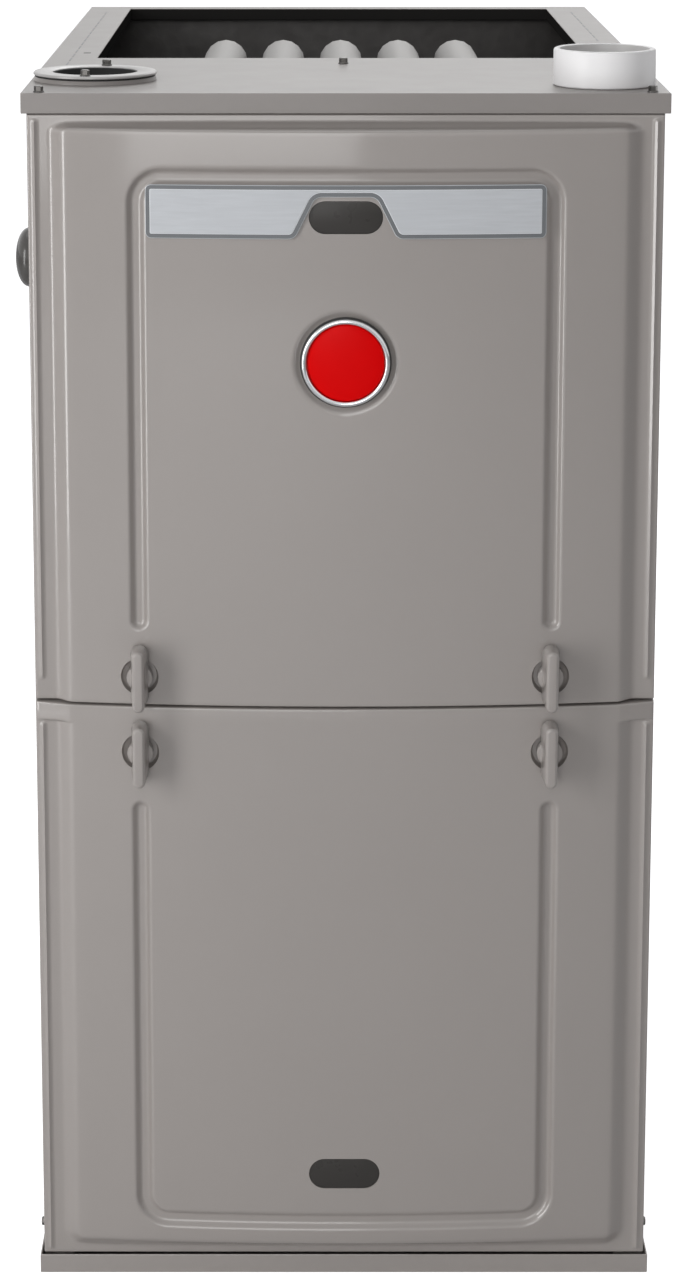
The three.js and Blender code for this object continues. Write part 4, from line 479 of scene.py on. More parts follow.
def spun(
    name: str, profile: Sequence[tuple[float, float]], centre: Point, axis: str, steps: int = 96
) -> Piece:
    """Spins a profile of (radius, place along the axis) pairs, in mm, about an axis."""
    along = "XYZ".index(axis)
    across = (along + 1) % 3
    points = []
    for radius, place in profile:
        point = [0.0, 0.0, 0.0]
        point[along], point[across] = place * MM, radius * MM
        points.append(tuple(a + b for a, b in zip(point, centre)))
    mesh = bpy.data.meshes.new(name)
    mesh.from_pydata(points, [(i, i + 1) for i in range(len(points) - 1)], [])
    piece = placed(name, mesh)
    edit(piece, "EDGE")
    direction = tuple(float(i == along) for i in range(3))
    bpy.ops.mesh.spin(steps=steps, angle=2 * pi, center=centre, axis=direction)
    bpy.ops.mesh.select_all(action="SELECT")
    bpy.ops.mesh.remove_doubles(threshold=MERGE)
    bpy.ops.mesh.normals_make_consistent(inside=False)
    leave()
    return piece


def softened(node: str, width: float, segments: int, smooth: float = 32) -> Piece:
    """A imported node's own shape, merged, with its edges rounded, standing for the node."""
    source = frame["nodes"][node]
    slot = NODE_SLOTS[node]
    piece = placed(node + "_dressed", source.data.copy())
    piece.data.materials.clear()
    edit(piece)
    bpy.ops.mesh.remove_doubles(threshold=MERGE)
    bpy.ops.mesh.dissolve_limited(angle_limit=radians(1.0))
    leave()
    if width:
        rounded(piece, width, segments)
    return settle(piece, slot, node, smooth, source["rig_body"])


# ---- doors


def knee(distance: float, radius: float) -> float:
    """Nought before a bend and straight after it, rounded over about a radius."""
    return 0.5 * (distance + sqrt(distance * distance + radius * radius))


def ease(share: float) -> float:
    """A smooth step from nought to one."""
    share = max(0.0, min(1.0, share))
    return share * share * (3 - 2 * share)


def blend(first: float, second: float, share: float) -> float:
    """A number between two."""
    return first + (second - first) * share


def stations(start: float, end: float, bands: Sequence[tuple[float, float, float]]) -> list[float]:
    """Places from start to end, close together in the bands and wide apart elsewhere.

    Args:
        start: the first place.
        end: the last place.
        bands: (from, to, step) triples in order, that don't overlap.

    Returns:
        The places in order.
    """
    coarse = 6.0
    places = [start]
    bands = [(start, start, coarse), *bands, (end, end, coarse)]
    for (_, before, _), (low, high, step) in zip(bands, bands[1:]):
        for span_start, span_end, width in ((before, low, coarse), (low, high, step)):
            span = span_end - span_start
            count = max(1, round(span / width)) if span > 0.01 else 0
            places += [span_start + span * (i + 1) / count for i in range(count)]
    return places


@dataclass
class DoorPress:
    """A door pressed from one sheet: raised bowed field, grooves, beads and turned edges.

    Lengths are in mm. Heights are measured from the floor. The lower door has a lip at its top,
    where its field runs on to the seam.
    """

    node: str
    bottom: float
    top: float
    half: float
    margin_y: float
    groove_run: float
    groove_end: float
    latch_height: float
    window_height: float
    field_bottom: float
    field_top: float
    badge_height: float | None = None
    lip: bool = False
    end_bevel: float = 9.0
    field_margin: float = 16.3
    bevel: float = 8.6
    round_over: float = 1.5
    field_rise: float = 8.0
    bow_rise: float = 12.0
    field_corner: float = 14.0
    groove_half_span: float = 144.0
    groove_corner: float = 18.0
    groove_half: float = 6.6
    groove_floor: float = 2.6
    groove_depth: float = 4.0
    bead_inset: float = 5.2
    bead_half: float = 2.7
    bead_rise: float = 1.7
    bead_gap: float = 5.0
    bead_seam_gap: float = 16.8
    lip_height: float = 14.0
    lip_slope: float = 1.8
    well_radius: float = 13.25
    well_floor: float = 8.33
    well_reach: float = 17.0
    badge_well: float = 36.5
    badge_depth: float = 2.5
    badge_slope: float = 4.5
    badge_reach: float = 40.0
    window_half: float = 25.3
    window_radius: float = 11.3
    edge_radius: float = 1.3
    depth: float = 15.0
    sheet: float = 1.1
    fine: float = 1.3
    medium: float = 1.6

    @property
    def field_half(self) -> float:
        """Half the field's width at its foot."""
        return self.half - self.field_margin

    @property
    def flat_half(self) -> float:
        """Half the field's width inside its bevel."""
        return self.field_half - self.bevel

    def bow(self, x: float) -> float:
        """The field's height above the margin."""
        share = min(1.0, abs(x) / self.flat_half)
        return self.field_rise + self.bow_rise * (1 - share * share)

    def groove_distance(self, x: float, z: float) -> float:
        """Distance from the middle line of the U-shaped groove."""
        x = abs(x)
        up = 1.0 if self.groove_run > self.groove_end else -1.0
        run, end = self.groove_run * up, self.groove_end * up
        z *= up
        turn = run - self.groove_corner
        inner = self.groove_half_span - self.groove_corner
        leg = hypot(x - self.groove_half_span, z - max(min(z, turn), end))
        cross = hypot(x - min(x, inner), z - run)
        arc = inf
        if x > inner and z > turn:
            arc = abs(hypot(x - inner, z - turn) - self.groove_corner)
        return min(leg, cross, arc)

    def rise(self, x: float, z: float) -> float:
        """How far the skin stands in front of the margin at a place."""
        corner = self.field_corner
        half_way = (self.field_bottom + self.field_top) / 2
        half_height = (self.field_top - self.field_bottom) / 2
        steep = self.bevel / self.end_bevel
        qx = abs(x) - (self.field_half - corner)
        qz = (abs(z - half_way) - half_height) * steep + corner
        inside = corner - hypot(max(qx, 0), max(qz, 0)) - min(max(qx, qz), 0)
        slope = knee(inside, self.round_over) - knee(inside - self.bevel, self.round_over)
        level = self.bow(x) * slope / self.bevel
        if self.lip:
            outer = self.field_rise * (self.half - abs(x)) / (self.half - self.flat_half)
            front = self.bow(x) if abs(x) < self.flat_half else outer
            level = blend(level, front, ease((z - (self.top - self.lip_height)) / self.lip_slope))
        gaps = (self.bead_gap, self.bead_seam_gap)
        below, above = gaps if self.lip else gaps[::-1]
        beside = abs(x) - (self.half - self.bead_inset)
        bead = hypot(beside, z - max(self.bottom + below, min(self.top - above, z)))
        level += self.bead_rise * (1 - ease(bead / self.bead_half))
        groove = self.groove_distance(x, z)
        span = self.groove_half - self.groove_floor
        level -= self.groove_depth * (1 - ease((groove - self.groove_floor) / span))
        if self.badge_height is not None:
            away = hypot(x, z - self.badge_height)
            foot = (away - self.badge_well + self.badge_slope) / self.badge_slope
            level -= self.badge_depth * (1 - ease(foot))
        return level

    def window_distance(self, x: float, z: float) -> float:
        """Distance outside the window's capsule outline, negative within it."""
        straight = self.window_half - self.window_radius
        along = max(0.0, abs(x) - straight)
        return hypot(along, z - self.window_height) - self.window_radius

    def well_distance(self, x: float, z: float) -> float:
        """Distance outside the nearer latch well's rim, negative within it."""
        return hypot(abs(x) - self.groove_half_span, z - self.latch_height) - self.well_radius

    def rolled(self, places: Sequence[float]) -> list[Station]:
        """Adds the rolled edge to both ends of a row of stations.

        Args:
            places: the stations of the flat sheet, which ends one edge radius early.

        Returns:
            (place, set back, whether it is the turned edge's end) for each station.
        """
        radius = self.edge_radius
        turns = [radians(a) for a in (30, 60, 90)]
        arc = [(sin(t) * radius, (1 - cos(t)) * radius) for t in turns]
        first, last = places[0], places[-1]
        return [
            (first - radius, 0.0, True),
            *((first - out, back, False) for out, back in reversed(arc)),
            *((place, 0.0, False) for place in places),
            *((last + out, back, False) for out, back in arc),
            (last + radius, 0.0, True),
        ]

    def columns(self) -> list[Station]:
        """Stations across the door."""
        edge, leg, reach = self.half - self.edge_radius, self.groove_half_span, self.well_reach
        right = [(leg - reach, leg + reach, self.fine), (self.flat_half - 4, edge, self.fine)]
        left = [(-high, -low, step) for low, high, step in reversed(right)]
        centre = (-self.badge_reach, self.badge_reach, self.medium)
        return self.rolled(stations(-edge, edge, [*left, centre, *right]))

    def rows(self) -> list[Station]:
        """Stations up the door, close together a little way past each pressed or cut shape."""
        low, high = self.bottom + self.edge_radius, self.top - self.edge_radius
        fine, well, groove, corner, window = self.fine, self.well_reach, 9, 20, 13
        if self.lip:
            shoulder = self.top - self.lip_height
            bands = [
                (low, self.field_bottom + self.end_bevel + 3, fine),
                (self.groove_run - groove, self.groove_run + corner, fine),
                (self.window_height - window, self.window_height + window, fine),
                (self.groove_end - groove, self.latch_height + well, fine),
                (shoulder - 2, shoulder + 4, 0.9),
            ]
        else:
            badge, reach = self.badge_height, self.badge_reach
            bands = [
                (self.latch_height - well, self.groove_end + groove, fine),
                (badge - reach, badge + reach, self.medium),
                (self.window_height - window, self.groove_run + groove, fine),
                (self.field_top - self.end_bevel - 6, high, 0.8),
            ]
        return self.rolled(stations(low, high, bands))

    def skin(self) -> Piece:
        """Presses the sheet: a grid drawn over the die, with its openings cut."""
        columns, rows = self.columns(), self.rows()
        across, up = len(columns) - 1, len(rows) - 1
        bpy.ops.mesh.primitive_grid_add(x_subdivisions=across, y_subdivisions=up, size=1)
        piece = bpy.context.object
        for vertex in piece.data.vertices:
            x, back_x, end_x = columns[round((vertex.co.x + 0.5) * across)]
            z, back_z, end_z = rows[round((vertex.co.y + 0.5) * up)]
            for distance in (self.window_distance, self.well_distance):
                x, z = self.snapped(x, z, distance)
            y = self.depth if end_x or end_z else back_x + back_z - self.rise(x, z)
            vertex.co = (x * MM, (self.margin_y + y) * MM, z * MM)
        edit(piece)
        remove_where(piece, self.is_open)
        bpy.ops.mesh.select_all(action="SELECT")
        bpy.ops.mesh.remove_doubles(threshold=MERGE)
        bpy.ops.mesh.dissolve_degenerate(threshold=MERGE)
        leave()
        return piece

    def snapped(
        self, x: float, z: float, distance: Callable[[float, float], float]
    ) -> tuple[float, float]:
        """Moves a place that lies close to an outline on to it."""
        off = distance(x, z)
        if abs(off) > 0.75 * self.fine:
            return x, z
        tiny = 0.01
        across = (distance(x + tiny, z) - distance(x - tiny, z)) / (2 * tiny)
        up = (distance(x, z + tiny) - distance(x, z - tiny)) / (2 * tiny)
        return x - off * across, z - off * up

    def is_open(self, centre: Vector) -> bool:
        """Whether a face lies in the window or in a latch well."""
        x, z = centre.x / MM, centre.z / MM
        return min(self.window_distance(x, z), self.well_distance(x, z)) < 0

    def cup(self, side: int) -> Piece:
        """The pressed cup that a latch turns in, drawn down from the skin.

        Args:
            side: -1 for the left cup, 1 for the right one.

        Returns:
            The cup, an open sheet whose outer ring lies just under the skin.
        """
        middle_x, skirt, tuck, first_drop = side * self.groove_half_span, 0.5, 0.05, 0.02
        rings = [(0.0, first_drop), (-0.5, 0.25), (-0.8, 0.8), (-1.6, 1.0), (-9.5, 1.0)]
        centre = Vector((middle_x, 0, self.latch_height)) * MM
        radius = self.well_radius + skirt
        upright = (pi / 2, 0, 0)
        bpy.ops.mesh.primitive_circle_add(
            vertices=64, radius=radius * MM, location=centre, rotation=upright
        )
        piece = bpy.context.object
        bpy.ops.object.transform_apply(location=True, rotation=True, scale=True)
        edit(piece, "EDGE")
        for inward, _ in rings:
            wanted = self.well_radius + inward
            bpy.ops.mesh.extrude_edges_move()
            bpy.ops.transform.resize(value=(wanted / radius,) * 3, center_override=centre)
            radius = wanted
        leave()
        for vertex in piece.data.vertices:
            x, z = vertex.co.x / MM, vertex.co.z / MM
            inward = hypot(x - middle_x, z - self.latch_height) - self.well_radius
            drop = next((d for r, d in rings if abs(r - inward) < 0.05), first_drop)
            level = blend(self.rise(x, z) - tuck, self.well_floor, drop)
            vertex.co.y = (self.margin_y - level) * MM
        return piece

    def build(self) -> None:
        """Makes the door's panel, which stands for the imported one."""
        skin = self.skin()
        skin.name = self.node + "_panel"
        pick(skin, self.cup(-1), self.cup(1))
        bpy.ops.object.join()
        edit(skin)
        bpy.ops.mesh.normals_make_consistent(inside=False)
        leave()
        inner, level = 100 * MM, 0.9
        ways = (f.normal.y for f in skin.data.polygons if abs(f.center.x) < inner)
        if next(y for y in ways if abs(y) > level) > 0:
            edit(skin)
            bpy.ops.mesh.flip_normals()
            leave()
        modify(skin, "SOLIDIFY", thickness=self.sheet * MM, offset=-1, use_quality_normals=True)
        settle(skin, "paint", self.node, 50, self.node)


@dataclass
class LabelPlate:
    """The bare silver plate round the upper window, with its dark border line and a painted
    highlight line inside it.
    """

    door: DoorPress
    half: float = 137.0
    top: float = 803.0
    bottom: float = 766.0
    foot: float = 35.0
    head: float = 20.8
    bridge: float = 794.8
    corner: float = 4.0
    proud: float = 1.8
    rim: float = 0.45
    band: float = 2.5
    thickness: float = 1.3
    fold_step: float = 5.0

    def build(self) -> None:
        """Cuts the outline, insets the border and bends the plate to the door."""
        right = [
            (self.head, self.bridge),
            (self.foot, self.bottom),
            (self.half, self.bottom),
            (self.half, self.top),
        ]
        outline = [(-x, z) for x, z in right[2::-1]] + right + [(-self.half, self.top)]
        y = (self.door.margin_y - self.door.bow(0) - self.proud) * MM
        mesh = bpy.data.meshes.new("label_plate")
        mesh.from_pydata([(x * MM, y, z * MM) for x, z in outline], [], [range(len(outline))])
        piece = placed("label_plate_bare", mesh)
        for coat in (Coat.SILVER_LABEL, Coat.BORDER, Coat.EDGE):
            mesh.materials.append(coat.material)
        edit(piece, "VERT")
        bpy.ops.mesh.bevel(offset=self.corner * MM, segments=5, affect="VERTICES")
        bpy.ops.mesh.select_mode(type="FACE")
        bpy.ops.mesh.select_all(action="SELECT")
        silver, border, edge = range(3)
        # The last narrow step keeps the bright coat: a painted highlight along the border's inner
        # edge.
        steps = [(self.rim, 0.25, border), (0.15, -0.2, border), (self.band, 0.0, edge)]
        for width, depth, inner_coat in [*steps, (0.35, 0.2, silver)]:
            bpy.ops.mesh.inset(thickness=width * MM, depth=depth * MM)
            leave()
            for face in piece.data.polygons:
                if face.select:
                    face.material_index = inner_coat
            bpy.ops.object.mode_set(mode="EDIT")
        for i in range(1, int(2 * self.half / self.fold_step)):
            bpy.ops.mesh.select_all(action="SELECT")
            fold = ((i * self.fold_step - self.half) * MM, 0, 0)
            bpy.ops.mesh.bisect(plane_co=fold, plane_no=(1, 0, 0))
        leave()
        for vertex in piece.data.vertices:
            vertex.co.y += (self.door.bow(0) - self.door.bow(vertex.co.x / MM)) * MM
        modify(piece, "SOLIDIFY", thickness=self.thickness * MM, offset=-1)
        settle(piece, "silver_label", "label_plate", 25, self.door.node)


@dataclass
class Badge:
    """The round badge: a domed red disc in a bright bezel, with nothing written on it."""

    place: Point
    disc_radius: float = 26.7
    bezel_radius: float = 30.6
    seat_radius: float = 31.5
    height: float = 6.0

    def build(self) -> None:
        """Spins the bezel, the dark ring at its foot that paints the shadow there, and the disc.
        """
        crown, body, outer, wide = self.height, "upper_door", self.bezel_radius, self.seat_radius
        where = (self.place, "Y")
        inner, slim = self.disc_radius + 0.3, self.bezel_radius + 0.02
        centre, half = (inner + outer) / 2, (outer - inner) / 2
        arc = [pi * i / 10 for i in range(11)]
        lip = [(centre + half * cos(t), -(crown - half + half * sin(t))) for t in arc]
        ring = [(outer, 0), *lip, (inner, 0), (outer, 0)]
        bezel = spun("badge_bezel_bright", ring, *where)
        settle(bezel, "chrome", "badge_bezel", 40, body)
        # A dark collar round the bezel's foot: painted shadow at its edge.
        collar = [(slim, 0), (wide, 0), (wide, -2.4), (slim, -3.4), (slim, 0)]
        seat = spun("badge_painted_shade_ring", collar, *where)
        settle(seat, "black_plastic", "", 30, body)
        quarter = [pi / 2 * i / 10 for i in range(11)]
        radius = self.disc_radius
        dome = [(radius * sin(t), -(crown - 2.6 + 2.2 * cos(t))) for t in quarter]
        disc = spun("badge_disc_enamel", [*dome, (radius, 0), (0, 0)], *where)
        settle(disc, "red_enamel", "badge_disc", 40, body)


class Doors:
    """Both doors' panels, the plate and the badge."""

    margin_y = -360.5
    latch_drop = 2.0

    def __init__(self) -> None:
        """Reads the doors' outer sizes from the frame."""
        (low, high), (base, lip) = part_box("upper_door"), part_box("lower_door")
        bottom, top = low.z / MM, high.z / MM
        foot, head = base.z / MM, lip.z / MM
        seam = (bottom + head) / 2
        self.upper = DoorPress(
            "upper_door",
            bottom - 0.4,
            top + 0.5,
            high.x / MM,
            self.margin_y,
            groove_run=top - 40.6,
            groove_end=seam + 61,
            latch_height=self.height("upper_left_latch") - self.latch_drop,
            window_height=self.height("upper_window"),
            field_bottom=bottom - 80,
            field_top=top - 5,
            badge_height=self.height("badge_disc"),
            end_bevel=3.8,
        )
        self.lower = DoorPress(
            "lower_door",
            foot,
            head + 0.4,
            lip.x / MM,
            self.margin_y,
            groove_run=foot + 33.5,
            groove_end=seam - 76.5,
            latch_height=self.height("lower_left_latch") - self.latch_drop,
            window_height=self.height("lower_window"),
            field_bottom=foot + 7,
            field_top=head + 80,
            lip=True,
        )

    @staticmethod
    def height(node: str) -> float:
        """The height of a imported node's middle, in mm."""
        return middle(node)[2] / MM

    def build(self) -> None:
        """Makes the panels and what is fixed to the upper one."""
        self.upper.build()
        self.lower.build()
        LabelPlate(self.upper).build()
        x, _, z = middle("badge_disc")
        Badge((x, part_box("badge_disc")[1].y, z)).build()


# ---- cabinet


@dataclass
class Screw:
    """A hex washer-head sheet-metal screw."""

    head: float = 4.4
    washer_height: float = 1.0
    across: float = 5.5
    washer: float = 7.6

    def build(self, place: Point, axis: str, way: int, name: str) -> None:
        """Makes one screw head that stands on a face.

        Args:
            place: the middle of its seat, in metres.
            axis: the axis that it points along.
            way: 1 to point up the axis, -1 to point down it.
            name: its name.
        """
        radius, top, step = self.across / 2 / cos(pi / 6), self.head, self.washer_height
        profile = [(0, top), (radius * 0.8, top), (radius, top - 0.5), (radius, step)]
        head = spun(name + "_hex", [(r, way * h) for r, h in profile], place, axis, 6)
        wide = self.washer / 2
        rim = [(radius * 0.7, step), (wide - 0.4, step), (wide, step * 0.5), (wide, 0), (0, 0)]
        washer = spun(name, [(r, way * h) for r, h in rim], place, axis, 28)
        pick(washer, head)
        bpy.ops.object.join()
        settle(washer, "steel", smooth=25, coat=Coat.SCREW)


class Cabinet:
    """The case: deck, lining, plug and the small fasteners."""

    film = 0.1 * MM
    film_top = 0.12 * MM
    dash = 19 * MM
    gap = 13 * MM
    dash_width = 1.2 * MM
    first_dash = 196 * MM
    last_margin = 28 * MM

    def build(self) -> None:
        """Makes them in order."""
        self.deck()
        self.lining()
        self.screws()
        self.plug()

    def deck(self) -> None:
        """The top deck: its opening's hem is painted dark as shade, and its side rails are
        perforated.
        """
        deck = softened("top_deck", 0.6, 2, 5)
        deck.data.materials.append(Coat.HEM.material)
        low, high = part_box("top_deck")
        front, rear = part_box("vestibule_panel")[1].y, high.y - 12 * MM
        rail, under = high.x - 30 * MM, high.z - 1.4 * MM
        # The hem faces inside the opening, below the deck's top, get the dark painted shade.
        for face in deck.data.polygons:
            x, y, z = face.center
            face.material_index = int(abs(x) < rail and front < y < rear and z < under)
        for side, name in ((-1, "left"), (1, "right")):
            self.perforation(f"{name}_rail_perforation", side * (high.x - 17 * MM), high)
        bpy.ops.mesh.primitive_grid_add(x_subdivisions=2, y_subdivisions=2, size=1)
        slot = bpy.context.object
        slot.name = "left_rail_slot"
        slot.scale = (5.4 * MM, 6.0 * MM, 1)
        slot.location = (low.x + 26 * MM, low.y + 288 * MM, high.z + self.film_top)
        modify(slot, "SOLIDIFY", thickness=self.film, offset=-1)
        settle(slot, "black_plastic")

    def perforation(self, name: str, x: float, high: Vector) -> None:
        """A dashed fold line along one of the deck's side rails.

        Args:
            name: its name.
            x: its place across the deck, in metres.
            high: the deck's highest corner.
        """
        pitch = self.dash + self.gap
        start, end = self.first_dash - high.y, high.y - self.last_margin
        count = int((end - start) / pitch)
        bpy.ops.mesh.primitive_grid_add(x_subdivisions=1, y_subdivisions=2 * count, size=1)
        strip = bpy.context.object
        strip.name = name
        for vertex in strip.data.vertices:
            step = round((vertex.co.y + 0.5) * 2 * count)
            y = start + (step // 2) * pitch + (step % 2) * self.dash
            vertex.co = (x + vertex.co.x * self.dash_width, y, high.z + self.film_top)
        edit(strip)
        remove_where(strip, lambda centre: (centre.y - start) % pitch > self.dash)
        leave()
        modify(strip, "SOLIDIFY", thickness=self.film, offset=-1)
        settle(strip, "black_plastic", coat=Coat.SWITCH_GREY)

    def lining(self) -> None:
        """Fibre mats on the walls behind the tubes, coloured dark as painted shade."""
        low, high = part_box("vestibule_panel")
        thick, gap = 6 * MM, 1 * MM
        front, back = high.y + gap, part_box("back_panel")[0].y - gap
        floor, ceiling = low.z + 2 * MM, high.z - 2 * MM
        centre, depth = (front + back) / 2, back - front
        walls = {
            "left": (low.x + thick / 2 + gap, centre, thick, depth),
            "right": (high.x - thick / 2 - gap, centre, thick, depth),
            "rear": (0.0, back - thick / 2, high.x - low.x - 2 * thick - 6 * MM, thick),
        }
        for side, (x, y, width, depth) in walls.items():
            bpy.ops.mesh.primitive_cube_add(size=1, location=(x, y, (floor + ceiling) / 2))
            mat = bpy.context.object
            mat.name = f"{side}_fibre_mat"
            mat.scale = (width, depth, ceiling - floor)
            bpy.ops.object.transform_apply(location=True, rotation=True, scale=True)
            rounded(mat, 2, 3)
            settle(mat, "liner", coat=Coat.DARK_MAT)

    def screws(self) -> None:
        """Screw heads where the photograph shows them, and their mates on the far sides."""
        screw, flat_screw = Screw(), Screw(head=2.5, washer_height=0.7)
        low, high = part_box("top_deck")
        places = {
            "left": (low.x + 12 * MM, low.y + 8 * MM),
            "right": (high.x - 12 * MM, low.y + 8 * MM),
            "middle": (0.0, low.y + 205 * MM),
        }
        for name, (x, y) in places.items():
            screw.build((x, y, high.z), "Z", 1, f"deck_front_{name}_screw")
        (low, rear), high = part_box("left_side_panel"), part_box("right_side_panel")[1]
        for side, x, way in (("left", low.x, -1), ("right", high.x, 1)):
            for end, y in (("front", low.y + 9 * MM), ("rear", high.y - 9 * MM)):
                flat_screw.build((x, y, 28 * MM), "X", way, f"{side}_{end}_base_screw")
            for level in (120, 430, 740):
                place = (x - way * 6 * MM, rear.y, level * MM)
                flat_screw.build(place, "Y", 1, f"{side}_back_screw_{level}")

    def plug(self) -> None:
        """The domed plug in the gas line's hole."""
        low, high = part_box("side_plug")
        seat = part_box("left_side_panel")[0].x
        _, y, z = middle("side_plug")
        radius, rise = (high.z - low.z) / 2 / MM, (seat - low.x) / MM
        arc = [pi / 2 * i / 12 for i in range(13)]
        dome = [(radius * sin(t), -0.3 - (rise - 0.3) * cos(t) ** 0.8) for t in arc]
        shank = [(radius, -0.3), (16.7, -0.3), (16.7, 4.2), (0, 4.2)]
        plug = spun("side_plug_dome", [*dome, *shank], (seat, y, z), "X", 64)
        settle(plug, "rubber", "side_plug", 40, coat=Coat.PLUG)


# ---- flue and air


class Flue:
    """The vent coupling and the round air intake on the deck."""

    def build(self) -> None:
        """Makes both."""
        self.coupling()
        self.intake()

    @staticmethod
    def ring(node: str) -> tuple[Point, float, float]:
        """Reads a round node from the frame: its foot's middle, its radius and its height."""
        low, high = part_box(node)
        x, y, _ = middle(node)
        return (x, y, low.z), (high.x - low.x) / 2 / MM, (high.z - low.z) / MM

    def coupling(self) -> None:
        """The white coupling: rounded rim, open socket and inner stop."""
        centre, radius, height = self.ring("vent_coupling")
        bore = 30.5
        outside = [(bore, 0), (radius - 0.8, 0), (radius, 0.8), (radius - 0.15, height - 1.6)]
        rim = [(radius - 0.6, height - 0.5), (radius - 1.6, height), (bore + 1.8, height)]
        socket = [(bore + 0.9, height - 0.5), (bore + 0.5, height - 1.6), (bore, height - 12)]
        profile = [*outside, *rim, *socket, (bore, 0)]
        ring = spun("vent_coupling_ring", profile, centre, "Z")
        for coat in (Coat.WHITE_PVC, Coat.SOCKET):
            ring.data.materials.append(coat.material)
        # The faces inside the bore take the greyer copy of the white plastic: painted shade inside
        # the socket.
        for face in ring.data.polygons:
            off = face.center - Vector(centre)
            face.material_index = int(hypot(off.x, off.y) < (bore + 0.7) * MM)
        settle(ring, "white_pvc", "vent_coupling", 40)

    def intake(self) -> None:
        """The thin flange on its dark seal and raised seat, the sleeve and the screws."""
        centre, radius, top = self.ring("intake_flange")
        bore, plate = 30.0, top - 2.0
        edge = [(bore, plate), (radius - 0.4, plate), (radius, plate + 0.4), (radius, top - 0.7)]
        face = [(radius - 0.7, top), (bore + 1.0, top), (bore, top - 0.6), (bore, plate)]
        flange = spun("intake_ring", [*edge, *face], centre, "Z")
        settle(flange, "deck_paint", "intake_flange", 35, coat=Coat.ZINC)
        wall, rim, foot, sleeve_end = bore - 0.1, radius - 1.0, plate - 1.3, -24
        seal = [(wall - 1, top - 1.2), (wall, top - 0.9), (wall, plate), (rim, plate), (rim, foot)]
        seal += [(wall, foot), (wall, sleeve_end), (wall - 1, sleeve_end), (wall - 1, top - 1.2)]
        sleeve = spun("intake_seal", seal, centre, "Z")
        settle(sleeve, "rubber", "intake_gasket", 35)
        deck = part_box("top_deck")[1].z
        floor, within = (deck - centre[2]) / MM + 0.05, bore + 4
        ramp = [(within, foot), (rim - 0.3, foot), (rim + 0.1, foot - 0.5), (rim + 0.7, floor)]
        seat = spun("intake_seat", [*ramp, (within, floor), (within, foot)], centre, "Z")
        settle(seat, "deck_paint", smooth=35)
        screw, reach = Screw(), 37.5 * MM
        for number, turn in ((1, radians(-97)), (2, radians(81))):
            x, y = centre[0] + reach * cos(turn), centre[1] + reach * sin(turn)
            place = (x, y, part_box("intake_flange")[1].z)
            screw.build(place, "Z", 1, f"intake_screw_{number}")
        place = (centre[0] - 14 * MM, centre[1] + 49 * MM, deck)
        screw.build(place, "Z", 1, "deck_intake_screw")


class Exchanger:
    """The five tubes, each bent into three runs. Lengths are in mm."""

    radius = 17.5
    upper_bend = 44.0
    lower_bend = 42.0
    rear_reach = 178.0
    front_reach = 322.7
    wall = 1.7

    def build(self) -> None:
        """Bends the tubes."""
        for number in range(1, 6):
            self.tube(f"exchanger_tube_{number}")

    def route(self, low: Vector, high: Vector) -> list[tuple[float, float]]:
        """Centre line of a tube as depth and height, in mm.

        Args:
            low: the node's lowest corner.
            high: its highest corner.

        Returns:
            Points along the three runs and two bends.
        """
        top, back = high.z / MM - self.radius, high.y / MM
        centre = top - 2 * self.upper_bend
        bottom = centre - 2 * self.lower_bend
        points = [(low.y / MM, top)]
        for depth, bend, level in (
            (back - self.rear_reach, self.upper_bend, (top + centre) / 2),
            (back - self.front_reach, -self.lower_bend, (centre + bottom) / 2),
        ):
            for turn in (pi * i / 20 for i in range(21)):
                up = abs(bend) * cos(turn)
                points.append((depth + bend * sin(turn), level + up))
        return [*points, (back, bottom)]

    def tube(self, node: str) -> None:
        """One tube, as a curve with a round section made into a mesh."""
        x = middle(node)[0]
        points = self.route(*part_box(node))
        curve = bpy.data.curves.new(node, "CURVE")
        curve.dimensions = "3D"
        curve.bevel_depth = (self.radius - 0.05) * MM
        curve.bevel_resolution = 6
        spline = curve.splines.new("POLY")
        spline.points.add(len(points) - 1)
        for point, (depth, height) in zip(spline.points, points):
            point.co = (x, depth * MM, height * MM, 1)
        pick(placed(node + "_bent", curve))
        bpy.ops.object.convert(target="MESH")
        piece = bpy.context.object
        modify(piece, "SOLIDIFY", thickness=self.wall * MM, offset=-1)
        settle(piece, "aluminised", node, 40)


class KeptShapes:
    """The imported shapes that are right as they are: they get softened edges and a finish."""

    edges: dict[tuple[float, int, float], tuple[str, ...]] = {
        (0.0, 1, 32): ("condensing_coil",),
        (0.0, 1, 60): ("vent_pipe",),
        (0.0, 2, 40): ("gas_manifold", "pressure_hose", "blower_wheel"),
        (0.2, 2, 40): ("inducer_wheel",),
        (0.3, 1, 5): ("centre_rail", "blower_deck", "vestibule_panel", "bottom_closure_panel"),
        (0.3, 2, 40): ("igniter", "flame_sensor", "control_bracket", "control_board"),
        (0.4, 2, 40): ("burner_rack", "rollout_switch", "blower_housing", "motor_bracket"),
        (0.5, 2, 5): ("left_side_panel", "right_side_panel", "back_panel", "base_pan"),
        (0.5, 2, 40): ("rollout_reset_button",),
        (0.6, 2, 40): ("burner_box", "door_switch", "door_switch_plunger"),
        (0.6, 3, 32): ("upper_window", "lower_window"),
        (0.8, 2, 32): ("collector_box",),
        (0.8, 2, 40): ("gas_valve_knob", "pressure_switch", "transformer"),
        (1.2, 2, 32): ("upper_door_liner", "lower_door_liner"),
        (1.2, 2, 40): ("gas_valve", "inducer_housing"),
        (1.2, 3, 40): (
            "upper_left_latch",
            "upper_right_latch",
            "lower_left_latch",
            "lower_right_latch",
        ),
        (1.5, 2, 40): ("header_box", "inducer_motor"),
        (2.0, 2, 40): ("drain_trap", "blower_motor"),
    }

    def build(self) -> None:
        """Softens each piece by its edges' width in mm, their steps and the smooth angle."""
        for touch, nodes in self.edges.items():
            for node in nodes:
                softened(node, *touch)


# ---- studio


